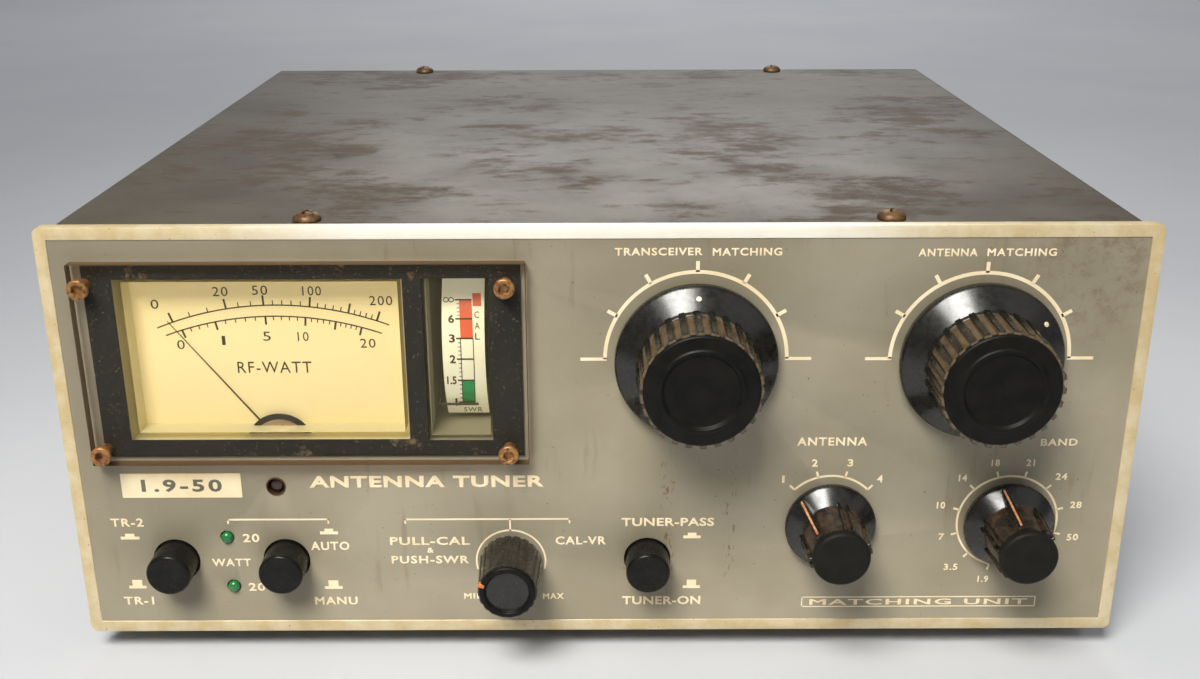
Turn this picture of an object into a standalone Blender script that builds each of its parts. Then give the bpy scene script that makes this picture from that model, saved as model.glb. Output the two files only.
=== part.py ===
"""Antenna tuner: a desktop matching unit with two meters, four turning controls and three buttons.

The origin is the middle of the space that the unit takes up, on the surface it stands on.
+X is to the right of someone facing the front panel, +Y goes from the panel to the rear, +Z is up.
Places on the unit are given from the middle of the panel's front face and turned to the origin by
on_panel(), so x is across, depth is behind the panel's face and z is up from the panel's middle.
"""

import math

import bmesh
import bpy
from mathutils import Vector

MM = 0.001

# Clearances
GAP = 0.3 * MM              # between pieces that touch or rest on each other
SHAFT_GAP = 0.4 * MM        # round a shaft, a bush or a button in its hole
FACE_GAP = 1.0 * MM         # between the back of a knob and the panel

# Front panel
PANEL_WIDTH = 250.0 * MM
PANEL_HEIGHT = 102.4 * MM
PANEL_THICK = 3.0 * MM
PANEL_CORNER = 3.0 * MM
PANEL_BORDER = 2.85 * MM
PAINT_DEPTH = 0.4 * MM

# Case
CASE_INSET = 2.2 * MM       # case inside each side edge of the panel
CASE_DEPTH = 232.0 * MM     # from the panel's face to the case's rear edge
CASE_DROP = 0.6 * MM        # case below the panel's top edge, and above its lower one
SHEET = 1.0 * MM
BEND_RADIUS = 1.6 * MM
FLANGE_DEPTH = 13.0 * MM
FOOT_RADIUS = 9.0 * MM
FOOT_HEIGHT = 5.6 * MM
FOOT_EDGE = 0.8 * MM
FOOT_INSET = 23.0 * MM
FOOT_SCREW_RADIUS = 3.2 * MM
FOOT_SCREW_DEPTH = 2.4 * MM

# Cover screws
COVER_SCREW_X = 66.0 * MM
COVER_SCREW_FRONT = 8.4 * MM
COVER_SCREW_REAR_INSET = 4.2 * MM
COVER_SCREW_HEAD = 3.25 * MM
COVER_SCREW_RISE = 1.9 * MM
COVER_SCREW_SHANK = 1.5 * MM
COVER_SCREW_LENGTH = 6.0 * MM

# Watt meter, placed from its left edge
WATT_LEFT = -109.4 * MM
WATT_Z = 19.8 * MM
WATT_WIDTH = 66.0 * MM
WATT_HEIGHT = 40.8 * MM
WATT_WALL = 2.2 * MM
METER_GLASS = 1.2 * MM
WATT_REAR_DEPTH = 8.0 * MM
WATT_REAR_DROP = 7.6 * MM
WATT_REAR_WALL = 1.4 * MM
WATT_REAR_SKIN = 0.6 * MM   # front wall of the case behind the panel
PIVOT_ASIDE = 0.7 * MM      # pivot to the right of the meter's middle
PIVOT_DROP = 3.1 * MM       # pivot below the meter's lower edge
NEEDLE_REST_DEG = 37.7
NEEDLE_SHORT = 3.2 * MM     # needle's tip below the dial's upper edge, if it stood upright
NEEDLE_WIDTH = 0.6 * MM
NEEDLE_THICK = 0.3 * MM
NEEDLE_HUB = 1.0 * MM
BRIDGE_RADIUS = 8.0 * MM
BRIDGE_DROP = 2.6 * MM      # bridge below the pivot
BRIDGE_THICK = 0.5 * MM
DIAL_THICK = 0.6 * MM
CORE_RADIUS = 6.0 * MM
CORE_LENGTH = 3.4 * MM
MAGNET_RADIUS = 19.0 * MM
MAGNET_LENGTH = 14.0 * MM
METER_BACK_THICK = 2.0 * MM

# Edgewise meter, beside the watt meter
METER_SPACE = 2.8 * MM
EDGE_WIDTH = 16.4 * MM
EDGE_WALL = 1.2 * MM
EDGE_DEPTH = 35.0 * MM
ARC_RADIUS = 26.5 * MM
ARC_FRONT = 4.2 * MM        # front of the curved scale behind the case's front
ARC_SCALE_ASIDE = 1.0 * MM  # scale to the right of the meter's middle
ARC_SCALE_WIDTH = 9.8 * MM
ARC_SCALE_THICK = 0.5 * MM
ARC_HALF_DEG = 42.0
POINTER_REST_DEG = 29.6
POINTER_OVERLAP = 7.7 * MM  # bar across the scale
POINTER_THICK = 0.5 * MM
POINTER_CLEARANCE = 0.6 * MM
POINTER_ARM = 0.8 * MM
POINTER_ARM_SPACE = 1.0 * MM
POINTER_HUB = 1.4 * MM

# Meter window, with its margins round the two meters
WINDOW_LEFT = 8.2 * MM
WINDOW_RIGHT = 7.8 * MM
WINDOW_ABOVE = 3.4 * MM
WINDOW_BELOW = 4.4 * MM
WINDOW_THICK = 3.0 * MM
WINDOW_SCREW_LEFT = 2.8 * MM
WINDOW_SCREW_RIGHT = 4.6 * MM
WINDOW_SCREW_ABOVE = 5.3 * MM
WINDOW_SCREW_BELOW = 3.1 * MM
WINDOW_SCREW_HEAD = 2.35 * MM
WINDOW_SCREW_HEIGHT = 1.6 * MM
WINDOW_SCREW_EDGE = 0.35 * MM
WINDOW_SCREW_SHANK = 1.4 * MM
HEX_RADIUS = 1.25 * MM
HEX_DEPTH = 0.9 * MM

# Large tuning knobs and their capacitors
TRANSCEIVER_X = 21.9 * MM
MATCHING_X = 86.5 * MM
TUNING_Z = 19.8 * MM
TRANSCEIVER_REST_DEG = 0.0
MATCHING_REST_DEG = 52.0
SKIRT_RADIUS = 18.6 * MM
SKIRT_EDGE = 2.0 * MM
SKIRT_RISE = 3.6 * MM
GRIP_RADIUS = 14.0 * MM
GRIP_FLUTES = 26
GRIP_FLUTE_DEPTH = 0.7 * MM
KNOB_LENGTH = 19.3 * MM
KNOB_RING_RADIUS = 9.0 * MM
KNOB_RING_DEPTH = 0.6 * MM
KNOB_EDGE = 0.8 * MM
KNOB_BACK_SPACE = 3.3 * MM  # hollow behind the knob, round its shaft
SHAFT_RADIUS = 3.0 * MM
SHAFT_IN_KNOB = 13.0 * MM
VANE_RADIUS = 18.0 * MM
VANE_THICK = 0.8 * MM
VANE_PITCH = 8.0 * MM
VANE_COUNT = 4
VANE_CLEARANCE = 0.4 * MM
STATOR_BAR = 1.6 * MM
STATOR_HUB_SPACE = 4.0 * MM # fixed plates clear of the shaft
FRAME_MARGIN = 1.5 * MM
FRAME_THICK = 1.6 * MM
FRAME_DEPTH = 12.0 * MM     # front end plate behind the panel's face
FRAME_ROD = 1.8 * MM
FRAME_ROD_INSET = 3.2 * MM

# Rotary switches
ANTENNA_X = 54.6 * MM
BAND_X = 97.0 * MM
SWITCH_Z = -21.9 * MM
ANTENNA_REST_DEG = -45.0
BAND_REST_DEG = -15.0
SWITCH_SKIRT = 10.75 * MM
SWITCH_SKIRT_EDGE = 1.6 * MM
SWITCH_SKIRT_RISE = 2.8 * MM
SWITCH_GRIP = 7.6 * MM
SWITCH_FRONT = 6.6 * MM
SWITCH_RIDGES = 12
SWITCH_RIDGE_DEPTH = 0.5 * MM
SWITCH_KNOB_LENGTH = 17.3 * MM
SWITCH_KNOB_EDGE = 0.6 * MM
RIDGE_INSET = 2.2 * MM      # ridges behind the knob's front
POINTER_FIN = 1.8 * MM
BUSH_RADIUS = 4.5 * MM
BUSH_FRONT = 2.4 * MM       # bush in front of the panel's face
WAFER_THICK = 1.6 * MM
WAFER_PITCH = 12.0 * MM
WAFER_COUNT = 2
WAFER_CONTACT = 3.0 * MM    # rotor disc outside the shaft
WAFER_RIM = 9.6 * MM        # wafer's ring outside its bore
INDEX_RADIUS = 12.0 * MM
INDEX_LENGTH = 5.0 * MM
TIE_RADIUS = 1.4 * MM
TIE_INSET = 3.5 * MM        # tie rods inside the wafer's rim

# Calibration control
CAL_X = -21.5 * MM
CAL_Z = -32.1 * MM
CAL_REST_DEG = -72.0
CAL_BASE = 7.5 * MM
CAL_FRONT = 6.75 * MM
CAL_LENGTH = 14.0 * MM
CAL_DISH = 0.7 * MM
CAL_RIM = 1.2 * MM
CAL_FACETS = 20
CAL_BUSH = 3.6 * MM
CAL_BUSH_FRONT = 2.0 * MM
CAL_SHAFT = 2.5 * MM
POT_RADIUS = 8.0 * MM
POT_LENGTH = 20.0 * MM
PLUNGER_RADIUS = 2.0 * MM
PLUNGER_LENGTH = 18.0 * MM

# Push buttons
BUTTON_XS = {"transceiver": -102.0 * MM, "watt": -75.5 * MM, "tuner": 11.3 * MM}
BUTTON_Z = -31.6 * MM
BUTTON_RADIUS = 5.2 * MM
BUTTON_REACH = 7.5 * MM     # cap in front of the panel's face
BUTTON_TRAVEL = 3.0 * MM
BUTTON_TAIL = 2.0 * MM      # cap behind the panel's face
BUTTON_EDGE = 0.5 * MM
PLUNGER_ROD = 1.8 * MM
SWITCH_BOX = 13.0 * MM
SWITCH_BOX_LENGTH = 24.0 * MM

# Lamps
LED_RADIUS = 1.4 * MM
LED_PLACES = {"low_range": (-89.3 * MM, -25.4 * MM), "high_range": (-88.9 * MM, -38.7 * MM)}
LED_REACH = 1.0 * MM
LAMP_X = -76.5 * MM
LAMP_DROP = 11.4 * MM       # pilot lamp below the watt meter's lower edge
LAMP_RADIUS = 2.0 * MM
LAMP_SINK = 0.5 * MM
LAMP_LENGTH = 9.0 * MM
LENS_SHARE = 0.7            # where the lens's slope turns, along its radius and its height

# Coaxial sockets and the earth terminal
SOCKET_Z = 8.0 * MM
SOCKET_SPACE = 4.1 * MM
ANTENNA_SOCKETS = 4
TRANSCEIVER_SOCKETS = 2
ANTENNA_SOCKET_X = 105.0 * MM
TRANSCEIVER_SOCKET_X = -45.0 * MM
SOCKET_FLANGE = 25.4 * MM
SOCKET_FLANGE_THICK = 1.6 * MM
SOCKET_BARREL = 7.9 * MM
SOCKET_REACH = 13.5 * MM
SOCKET_MOUTH = 6.1 * MM
SOCKET_MOUTH_DEPTH = 5.2 * MM
SOCKET_CONTACT = 2.0 * MM
SOCKET_CONTACT_DEPTH = 6.0 * MM
SOCKET_BODY = 7.6 * MM
SOCKET_BODY_LENGTH = 6.0 * MM
SOCKET_TAIL = 2.6 * MM
SOCKET_TAIL_LENGTH = 6.0 * MM
EARTH_X = -105.0 * MM
EARTH_Z = -24.0 * MM
EARTH_STUD = 2.5 * MM
EARTH_REACH = 13.0 * MM
EARTH_NUT = 4.6 * MM
EARTH_NUT_THICK = 4.0 * MM
EARTH_TAIL = 7.0 * MM

# Inner parts
COIL_X = 62.0 * MM
COIL_DEPTH = 132.0 * MM
COIL_RISE = 12.6 * MM       # coil above the floor
COIL_LEG = 3.0 * MM
COIL_RADIUS = 17.0 * MM
COIL_BORE = 13.0 * MM
COIL_GROOVE = 1.6 * MM
COIL_TURNS = 9
COIL_TURN_PITCH = 6.5 * MM
BOARD_X = -62.0 * MM
BOARD_DEPTH = 78.0 * MM
BOARD_RISE = 6.6 * MM       # board above the floor
BOARD_LEG = 5.0 * MM
BOARD_LEG_INSET = 4.0 * MM
BOARD_WIDTH = 96.0 * MM
BOARD_LENGTH = 74.0 * MM
BOARD_THICK = 1.6 * MM

# Roundness
ROUND_LARGE = 26
ROUND = 16
ROUND_SMALL = 12
SOCKET_SIDES = 14
ARC_STEPS = 12
HALF_STEPS = 10
THROUGH = 3                 # length of a hole's cutter, in thicknesses of its wall
RIDGE_SLOPE = 0.06          # slope of a ridge's side, in pitches

# Places that follow from the sizes
PANEL_TOP = PANEL_HEIGHT / 2
CASE_WIDTH = PANEL_WIDTH - 2 * CASE_INSET
CASE_TOP = PANEL_TOP - CASE_DROP
CASE_BOTTOM = -CASE_TOP
WALL_FRONT = PANEL_THICK + GAP
WALL_BACK = WALL_FRONT + SHEET
FLOOR_TOP = CASE_BOTTOM + SHEET
FOOT_TOP = CASE_BOTTOM - GAP
PANEL_MID_Z = FOOT_HEIGHT - FOOT_TOP
FRONT_REACH = FACE_GAP + KNOB_LENGTH
SOCKET_FACE = CASE_DEPTH + GAP
REAR_REACH = SOCKET_FACE + SOCKET_FLANGE_THICK + SOCKET_REACH
FACE_Y = (FRONT_REACH - REAR_REACH) / 2
CHASSIS_WIDTH = CASE_WIDTH - 2 * (SHEET + GAP)
METER_FRONT = GAP
WATT_X = WATT_LEFT + WATT_WIDTH / 2
WATT_LOW = WATT_Z - WATT_HEIGHT / 2
WATT_HIGH = WATT_Z + WATT_HEIGHT / 2
LAMP_Z = WATT_LOW - LAMP_DROP
PIVOT_X = WATT_X + PIVOT_ASIDE
PIVOT_Z = WATT_LOW - PIVOT_DROP
EDGE_LEFT = WATT_LEFT + WATT_WIDTH + METER_SPACE
EDGE_X = EDGE_LEFT + EDGE_WIDTH / 2
EDGE_RIGHT = EDGE_LEFT + EDGE_WIDTH
ARC_AXIS_DEPTH = METER_FRONT + ARC_FRONT + ARC_RADIUS
ARC_SCALE_X = EDGE_X + ARC_SCALE_ASIDE
POINTER_RIGHT_X = ARC_SCALE_X - ARC_SCALE_WIDTH / 2 + POINTER_OVERLAP
POINTER_LEFT_X = ARC_SCALE_X - ARC_SCALE_WIDTH / 2 - POINTER_ARM_SPACE - POINTER_ARM
STATOR_INNER = SHAFT_RADIUS + STATOR_HUB_SPACE
STATOR_OUTER = VANE_RADIUS + VANE_CLEARANCE + STATOR_BAR
FRAME_SIZE = 2 * (STATOR_OUTER + FRAME_MARGIN)
WAFER_ROTOR = SHAFT_RADIUS + WAFER_CONTACT
WAFER_BORE = WAFER_ROTOR + SHAFT_GAP
WAFER_RADIUS = WAFER_BORE + WAFER_RIM
TIE_OFFSET = WAFER_RADIUS - TIE_INSET
METER_REAR_FRONT = WALL_BACK + GAP
BRIDGE_DEPTH = METER_REAR_FRONT + WATT_REAR_SKIN + GAP
NEEDLE_DEPTH = BRIDGE_DEPTH + BRIDGE_THICK + GAP
DIAL_DEPTH = NEEDLE_DEPTH + NEEDLE_THICK + GAP
SWITCH_FRONT_DEPTH = WALL_BACK + GAP
SOCKET_PITCH = SOCKET_FLANGE + SOCKET_SPACE

COLOURS = {
    "panel": ((0.30, 0.27, 0.22), 0.55, 0.2),
    "steel": ((0.34, 0.31, 0.28), 0.5, 0.8),
    "zinc": ((0.55, 0.55, 0.53), 0.4, 0.9),
    "brass": ((0.50, 0.28, 0.13), 0.4, 0.9),
    "rubber": ((0.03, 0.03, 0.03), 0.8, 0.0),
    "clear": ((0.85, 0.85, 0.75), 0.1, 0.0),
    "black": ((0.02, 0.02, 0.02), 0.35, 0.0),
    "dial": ((0.85, 0.78, 0.45), 0.7, 0.0),
    "copper": ((0.45, 0.22, 0.12), 0.4, 0.9),
    "aluminium": ((0.6, 0.6, 0.6), 0.4, 0.9),
    "nickel": ((0.6, 0.58, 0.52), 0.3, 1.0),
    "green": ((0.05, 0.35, 0.10), 0.3, 0.0),
    "red": ((0.20, 0.03, 0.02), 0.3, 0.0),
    "board": ((0.35, 0.25, 0.10), 0.6, 0.0),
    "former": ((0.75, 0.72, 0.62), 0.6, 0.0),
}

PARTS = None
CUTTERS = None


def clear_scene():
    """Removes every object that the file opened with."""
    for thing in list(bpy.data.objects):
        bpy.data.objects.remove(thing, do_unlink=True)


def add_collection(name):
    collection = bpy.data.collections.new(name)
    bpy.context.scene.collection.children.link(collection)
    return collection


def on_panel(x, depth, z):
    """A place in the unit's own axes, from one given from the middle of the panel's face."""
    return Vector((x, depth + FACE_Y, z + PANEL_MID_Z))


def finish(thing, colour):
    """Gives a piece a material of its own."""
    rgb, roughness, metallic = COLOURS[colour]
    material = bpy.data.materials.new(thing.name + "_material")
    material.use_nodes = True
    shader = material.node_tree.nodes["Principled BSDF"]
    shader.inputs["Base Color"].default_value = (*rgb, 1.0)
    shader.inputs["Roughness"].default_value = roughness
    shader.inputs["Metallic"].default_value = metallic
    thing.data.materials.clear()
    thing.data.materials.append(material)
    return thing


def as_cutter(thing):
    thing.hide_render = True
    thing.display_type = "WIRE"
    for collection in list(thing.users_collection):
        collection.objects.unlink(thing)
    CUTTERS.objects.link(thing)
    return thing


def combine(thing, others, operation):
    """Cuts the other shapes out of a piece, or joins them to it."""
    for other in others:
        as_cutter(other)
        modifier = thing.modifiers.new(other.name, "BOOLEAN")
        modifier.object = other
        modifier.operation = operation
        modifier.solver = "EXACT"
    return thing


def cut(thing, *others):
    return combine(thing, others, "DIFFERENCE")


def join(thing, *others):
    return combine(thing, others, "UNION")


def new_object(name, mesh, place, facing_front=False):
    """Places a mesh. A piece that faces the front has +X right, +Y up and +Z towards the viewer."""
    thing = bpy.data.objects.new(name, mesh)
    thing.location = place
    if facing_front:
        thing.rotation_euler = (math.pi / 2, 0.0, 0.0)
    PARTS.objects.link(thing)
    return thing


def block(name, size, centre):
    """A rectangular block of a size (x, y, z), centred on a place."""
    shape = bmesh.new()
    bmesh.ops.create_cube(shape, size=1.0)
    bmesh.ops.scale(shape, vec=Vector(size), verts=shape.verts)
    mesh = bpy.data.meshes.new(name)
    shape.to_mesh(mesh)
    shape.free()
    return new_object(name, mesh, centre)


def block_between(name, low, high):
    """A block between two corners given from the middle of the panel's face."""
    low_corner = on_panel(*low)
    high_corner = on_panel(*high)
    return block(name, high_corner - low_corner, (low_corner + high_corner) / 2)


def rod(name, radius, place, length, sides=ROUND):
    """A round rod that starts at a place on the panel's axes and runs to the rear."""
    shape = bmesh.new()
    bmesh.ops.create_cone(
        shape, cap_ends=True, segments=sides, radius1=radius, radius2=radius, depth=length
    )
    mesh = bpy.data.meshes.new(name)
    shape.to_mesh(mesh)
    shape.free()
    smooth(mesh)
    x, depth, z = place
    return new_object(name, mesh, on_panel(x, depth + length / 2, z), facing_front=True)


def smooth(mesh, angle=30.0):
    mesh.shade_smooth()
    mesh.set_sharp_from_angle(angle=math.radians(angle))


def turned(name, profile, place, sides=ROUND, upright=False):
    """A turned piece: (radius, height) points down its outer side, from the top to the bottom.

    The height runs towards the viewer, or up where the piece stands upright.
    """
    mesh = bpy.data.meshes.new(name)
    points = [(radius, 0.0, height) for radius, height in profile]
    edges = [(index, index + 1) for index in range(len(points) - 1)]
    mesh.from_pydata(points, edges, [])
    thing = new_object(name, mesh, place, facing_front=not upright)
    screw = thing.modifiers.new("Turn", "SCREW")
    screw.steps = sides
    screw.render_steps = sides
    screw.use_merge_vertices = True
    screw.merge_threshold = 0.00001
    screw.use_smooth_shade = True
    return thing


def outline_solid(name, outlines, thickness, place, facing_front=True):
    """A flat piece: an outer outline, and a hole for each further outline, with its thickness.

    The place is the middle of the thickness.
    """
    curve = bpy.data.curves.new(name, "CURVE")
    curve.dimensions = "2D"
    curve.fill_mode = "BOTH"
    curve.extrude = thickness / 2
    for outline in outlines:
        spline = curve.splines.new("POLY")
        spline.points.add(len(outline) - 1)
        for point, (x, y) in zip(spline.points, outline):
            point.co = (x, y, 0.0, 1.0)
        spline.use_cyclic_u = True
    guide = new_object(name + "_outline", curve, place, facing_front)
    bpy.context.view_layer.update()
    evaluated = guide.evaluated_get(bpy.context.evaluated_depsgraph_get())
    mesh = bpy.data.meshes.new_from_object(evaluated)
    shape = bmesh.new()
    shape.from_mesh(mesh)
    bmesh.ops.remove_doubles(shape, verts=shape.verts, dist=0.000001)
    bmesh.ops.recalc_face_normals(shape, faces=shape.faces)
    shape.to_mesh(mesh)
    shape.free()
    thing = bpy.data.objects.new(name, mesh)
    thing.matrix_world = guide.matrix_world
    PARTS.objects.link(thing)
    bpy.data.objects.remove(guide, do_unlink=True)
    return thing


def circle(radius, x=0.0, y=0.0, sides=ROUND):
    """Points round a circle."""
    turns = [2 * math.pi * (index + 0.5) / sides for index in range(sides)]
    return [(x + radius * math.cos(turn), y + radius * math.sin(turn)) for turn in turns]


def rectangle(width, height, x=0.0, y=0.0, corner=0.0, corner_steps=4):
    """Points round a rectangle, with round corners where a radius is given."""
    if corner <= 0.0:
        sides = ((1, 1), (-1, 1), (-1, -1), (1, -1))
        return [(x + across * width / 2, y + up * height / 2) for across, up in sides]
    points = []
    for quarter in range(4):
        start = quarter * math.pi / 2
        across = 1 if quarter in (0, 3) else -1
        up = 1 if quarter in (0, 1) else -1
        centre_x = x + across * (width / 2 - corner)
        centre_y = y + up * (height / 2 - corner)
        for step in range(corner_steps + 1):
            turn = start + step * math.pi / 2 / corner_steps
            points.append((centre_x + corner * math.cos(turn), centre_y + corner * math.sin(turn)))
    return points


def sector(outer, inner, start_deg, end_deg, steps=ARC_STEPS):
    """Points round a part of a ring, or of a disc where the inner radius is 0."""
    sweep = end_deg - start_deg
    turns = [math.radians(start_deg + sweep * step / steps) for step in range(steps + 1)]
    points = [(outer * math.cos(turn), outer * math.sin(turn)) for turn in turns]
    if inner <= 0.0:
        return points
    back = [(inner * math.cos(turn), inner * math.sin(turn)) for turn in reversed(turns)]
    return points + back


def fluted(radius, depth, count):
    """Points round a grip with even ridges, each with a flat top and a flat groove."""
    corners = (
        (RIDGE_SLOPE, radius),
        (0.5 - RIDGE_SLOPE, radius),
        (0.5 + RIDGE_SLOPE, radius - depth),
        (1.0 - RIDGE_SLOPE, radius - depth),
    )
    points = []
    for index in range(count):
        for share, radial in corners:
            turn = 2 * math.pi * (index + share) / count
            points.append((radial * math.cos(turn), radial * math.sin(turn)))
    return points


def face_right(thing, turn_deg=0.0):
    """Stands an outline up so that +X runs to the rear, +Y up and +Z to the right."""
    thing.rotation_mode = "ZYX"
    thing.rotation_euler = (0.0, math.pi / 2, math.pi / 2 + math.radians(turn_deg))


def turn_pointer(thing, clockwise_deg):
    """Turns a piece that faces the front clockwise, as its user sees it."""
    thing.rotation_euler = (math.pi / 2, math.radians(clockwise_deg), 0.0)


def bend_path(corners, radius, steps=3):
    """Points along a path of straight runs, with a round bend at each inner corner."""
    path = [Vector(corners[0])]
    for before, corner, after in zip(corners, corners[1:], corners[2:]):
        corner = Vector(corner)
        towards = (Vector(before) - corner).normalized()
        onwards = (Vector(after) - corner).normalized()
        centre = corner + (towards + onwards) * radius
        for step in range(steps + 1):
            turn = math.pi / 2 * step / steps
            path.append(centre - onwards * radius * math.cos(turn) - towards * radius * math.sin(turn))
    path.append(Vector(corners[-1]))
    return path


def bent_sheet(name, corners, sweep, outside):
    """A bent sheet: a path of its outer surface, swept along a straight line.

    outside is 1 or -1, and picks the side of the path that the thickness leaves free.
    """
    path = bend_path(corners, BEND_RADIUS)
    shape = bmesh.new()
    first = [shape.verts.new(point) for point in path]
    edges = [shape.edges.new(pair) for pair in zip(first, first[1:])]
    swept = bmesh.ops.extrude_edge_only(shape, edges=edges)
    moved = [item for item in swept["geom"] if isinstance(item, bmesh.types.BMVert)]
    bmesh.ops.translate(shape, verts=moved, vec=sweep)
    mesh = bpy.data.meshes.new(name)
    shape.to_mesh(mesh)
    shape.free()
    thing = new_object(name, mesh, Vector((0.0, 0.0, 0.0)))
    solidify = thing.modifiers.new("Thickness", "SOLIDIFY")
    solidify.thickness = SHEET
    solidify.offset = outside
    solidify.use_even_offset = True
    return thing


def meter_openings():
    """The outlines of the two meters' openings, from the middle of the panel."""
    watt = rectangle(WATT_WIDTH + 2 * GAP, WATT_HEIGHT + 2 * GAP, WATT_X, WATT_Z)
    edge = rectangle(EDGE_WIDTH + 2 * GAP, WATT_HEIGHT + 2 * GAP, EDGE_X, WATT_Z)
    return [watt, edge]


def window_screw_places():
    """Where the meter window's four screws go: name, x and z."""
    left = WATT_LEFT - WINDOW_LEFT + WINDOW_SCREW_LEFT
    right = EDGE_RIGHT + WINDOW_RIGHT - WINDOW_SCREW_RIGHT
    low = WATT_LOW - WINDOW_BELOW + WINDOW_SCREW_BELOW
    high = WATT_HIGH + WINDOW_ABOVE - WINDOW_SCREW_ABOVE
    return [
        ("lower_left", left, low),
        ("lower_right", right, low),
        ("upper_left", left, high),
        ("upper_right", right, high),
    ]


def control_holes():
    """The round holes that the panel and the chassis wall share: x, z, panel and wall radius."""
    holes = []
    for x in (TRANSCEIVER_X, MATCHING_X):
        holes.append((x, TUNING_Z, SHAFT_RADIUS + SHAFT_GAP, SHAFT_RADIUS + 2 * SHAFT_GAP))
    for x in (ANTENNA_X, BAND_X):
        holes.append((x, SWITCH_Z, BUSH_RADIUS + SHAFT_GAP, BUSH_RADIUS + 2 * SHAFT_GAP))
    holes.append((CAL_X, CAL_Z, CAL_BUSH + SHAFT_GAP, CAL_BUSH + 2 * SHAFT_GAP))
    for x in BUTTON_XS.values():
        holes.append((x, BUTTON_Z, BUTTON_RADIUS + SHAFT_GAP, BUTTON_RADIUS + 2 * SHAFT_GAP))
    for x, z in LED_PLACES.values():
        holes.append((x, z, LED_RADIUS + GAP, LED_RADIUS + 2 * GAP))
    holes.append((LAMP_X, LAMP_Z, LAMP_RADIUS + GAP, LAMP_RADIUS + 2 * GAP))
    return holes


def make_front_panel():
    """The panel plate, with a bare border round its sunk painted face, and all its openings."""
    outlines = [rectangle(PANEL_WIDTH, PANEL_HEIGHT, corner=PANEL_CORNER)]
    outlines += meter_openings()
    panel = outline_solid("front_panel", outlines, PANEL_THICK, on_panel(0, PANEL_THICK / 2, 0))
    reach = THROUGH * PANEL_THICK
    holes = [(x, z, radius) for x, z, radius, _ in control_holes()]
    holes += [(x, z, WINDOW_SCREW_SHANK + GAP) for _, x, z in window_screw_places()]
    for index, (x, z, radius) in enumerate(holes):
        cut(panel, rod("panel_hole_%d" % index, radius, (x, -PANEL_THICK, z), reach))
    sunk_width = PANEL_WIDTH / 2 - PANEL_BORDER
    sunk_height = PANEL_HEIGHT / 2 - PANEL_BORDER
    recess = block_between(
        "paint_recess",
        (-sunk_width, -FACE_GAP, -sunk_height),
        (sunk_width, PAINT_DEPTH, sunk_height),
    )
    cut(panel, recess)
    return finish(panel, "panel")


def make_chassis():
    """One bent sheet: floor, front wall, rear wall, and a flange on top of each wall."""
    flange_z = CASE_TOP - SHEET - GAP
    corners = [
        on_panel(-CHASSIS_WIDTH / 2, WALL_FRONT + FLANGE_DEPTH, flange_z),
        on_panel(-CHASSIS_WIDTH / 2, WALL_FRONT, flange_z),
        on_panel(-CHASSIS_WIDTH / 2, WALL_FRONT, CASE_BOTTOM),
        on_panel(-CHASSIS_WIDTH / 2, CASE_DEPTH, CASE_BOTTOM),
        on_panel(-CHASSIS_WIDTH / 2, CASE_DEPTH, flange_z),
        on_panel(-CHASSIS_WIDTH / 2, CASE_DEPTH - FLANGE_DEPTH, flange_z),
    ]
    chassis = bent_sheet("chassis", corners, Vector((CHASSIS_WIDTH, 0.0, 0.0)), 1)
    reach = THROUGH * SHEET
    for index, (x, z, _, radius) in enumerate(control_holes()):
        hole = rod("wall_hole_%d" % index, radius, (x, WALL_FRONT - SHEET, z), reach)
        cut(chassis, hole)
    for index, outline in enumerate(meter_openings()):
        place = on_panel(0, WALL_FRONT + SHEET / 2, 0)
        cut(chassis, outline_solid("wall_opening_%d" % index, [outline], reach, place))
    for name, x in socket_places():
        cut(chassis, rear_hole(name + "_hole", SOCKET_BODY + SHAFT_GAP, x, SOCKET_Z, ROUND))
    cut(chassis, rear_hole("earth_hole", EARTH_STUD + SHAFT_GAP, EARTH_X, EARTH_Z, ROUND_SMALL))
    for name, x, depth in cover_screw_places():
        cut(chassis, top_hole(name + "_tapping", x, depth))
    return finish(chassis, "zinc")


def rear_hole(name, radius, x, z, sides):
    """A cutter for a round hole through the rear wall."""
    return rod(name, radius, (x, CASE_DEPTH - 2 * SHEET, z), THROUGH * SHEET, sides)


def top_hole(name, x, depth):
    """A cutter for a screw hole through the cover and the flange below it."""
    radius = COVER_SCREW_SHANK + GAP
    reach = COVER_SCREW_LENGTH
    profile = [(0, 0), (radius, 0), (radius, -2 * reach), (0, -2 * reach)]
    return turned(name, profile, on_panel(x, depth, CASE_TOP + reach), ROUND_SMALL, upright=True)


def cover_screw_places():
    """Where the cover's four screws go: name, x and depth behind the panel's face."""
    places = []
    for end, depth in (
        ("front", COVER_SCREW_FRONT),
        ("rear", CASE_DEPTH - COVER_SCREW_REAR_INSET),
    ):
        for side, x in (("left", -COVER_SCREW_X), ("right", COVER_SCREW_X)):
            places.append(("cover_screw_" + end + "_" + side, x, depth))
    return places


def make_top_cover():
    """One bent sheet over the chassis: top and two sides, open below and at both ends."""
    corners = [
        on_panel(-CASE_WIDTH / 2, WALL_FRONT, CASE_BOTTOM),
        on_panel(-CASE_WIDTH / 2, WALL_FRONT, CASE_TOP),
        on_panel(CASE_WIDTH / 2, WALL_FRONT, CASE_TOP),
        on_panel(CASE_WIDTH / 2, WALL_FRONT, CASE_BOTTOM),
    ]
    sweep = Vector((0.0, CASE_DEPTH - WALL_FRONT, 0.0))
    cover = bent_sheet("top_cover", corners, sweep, 1)
    for name, x, depth in cover_screw_places():
        cut(cover, top_hole(name + "_hole", x, depth))
    return finish(cover, "steel")


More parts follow.
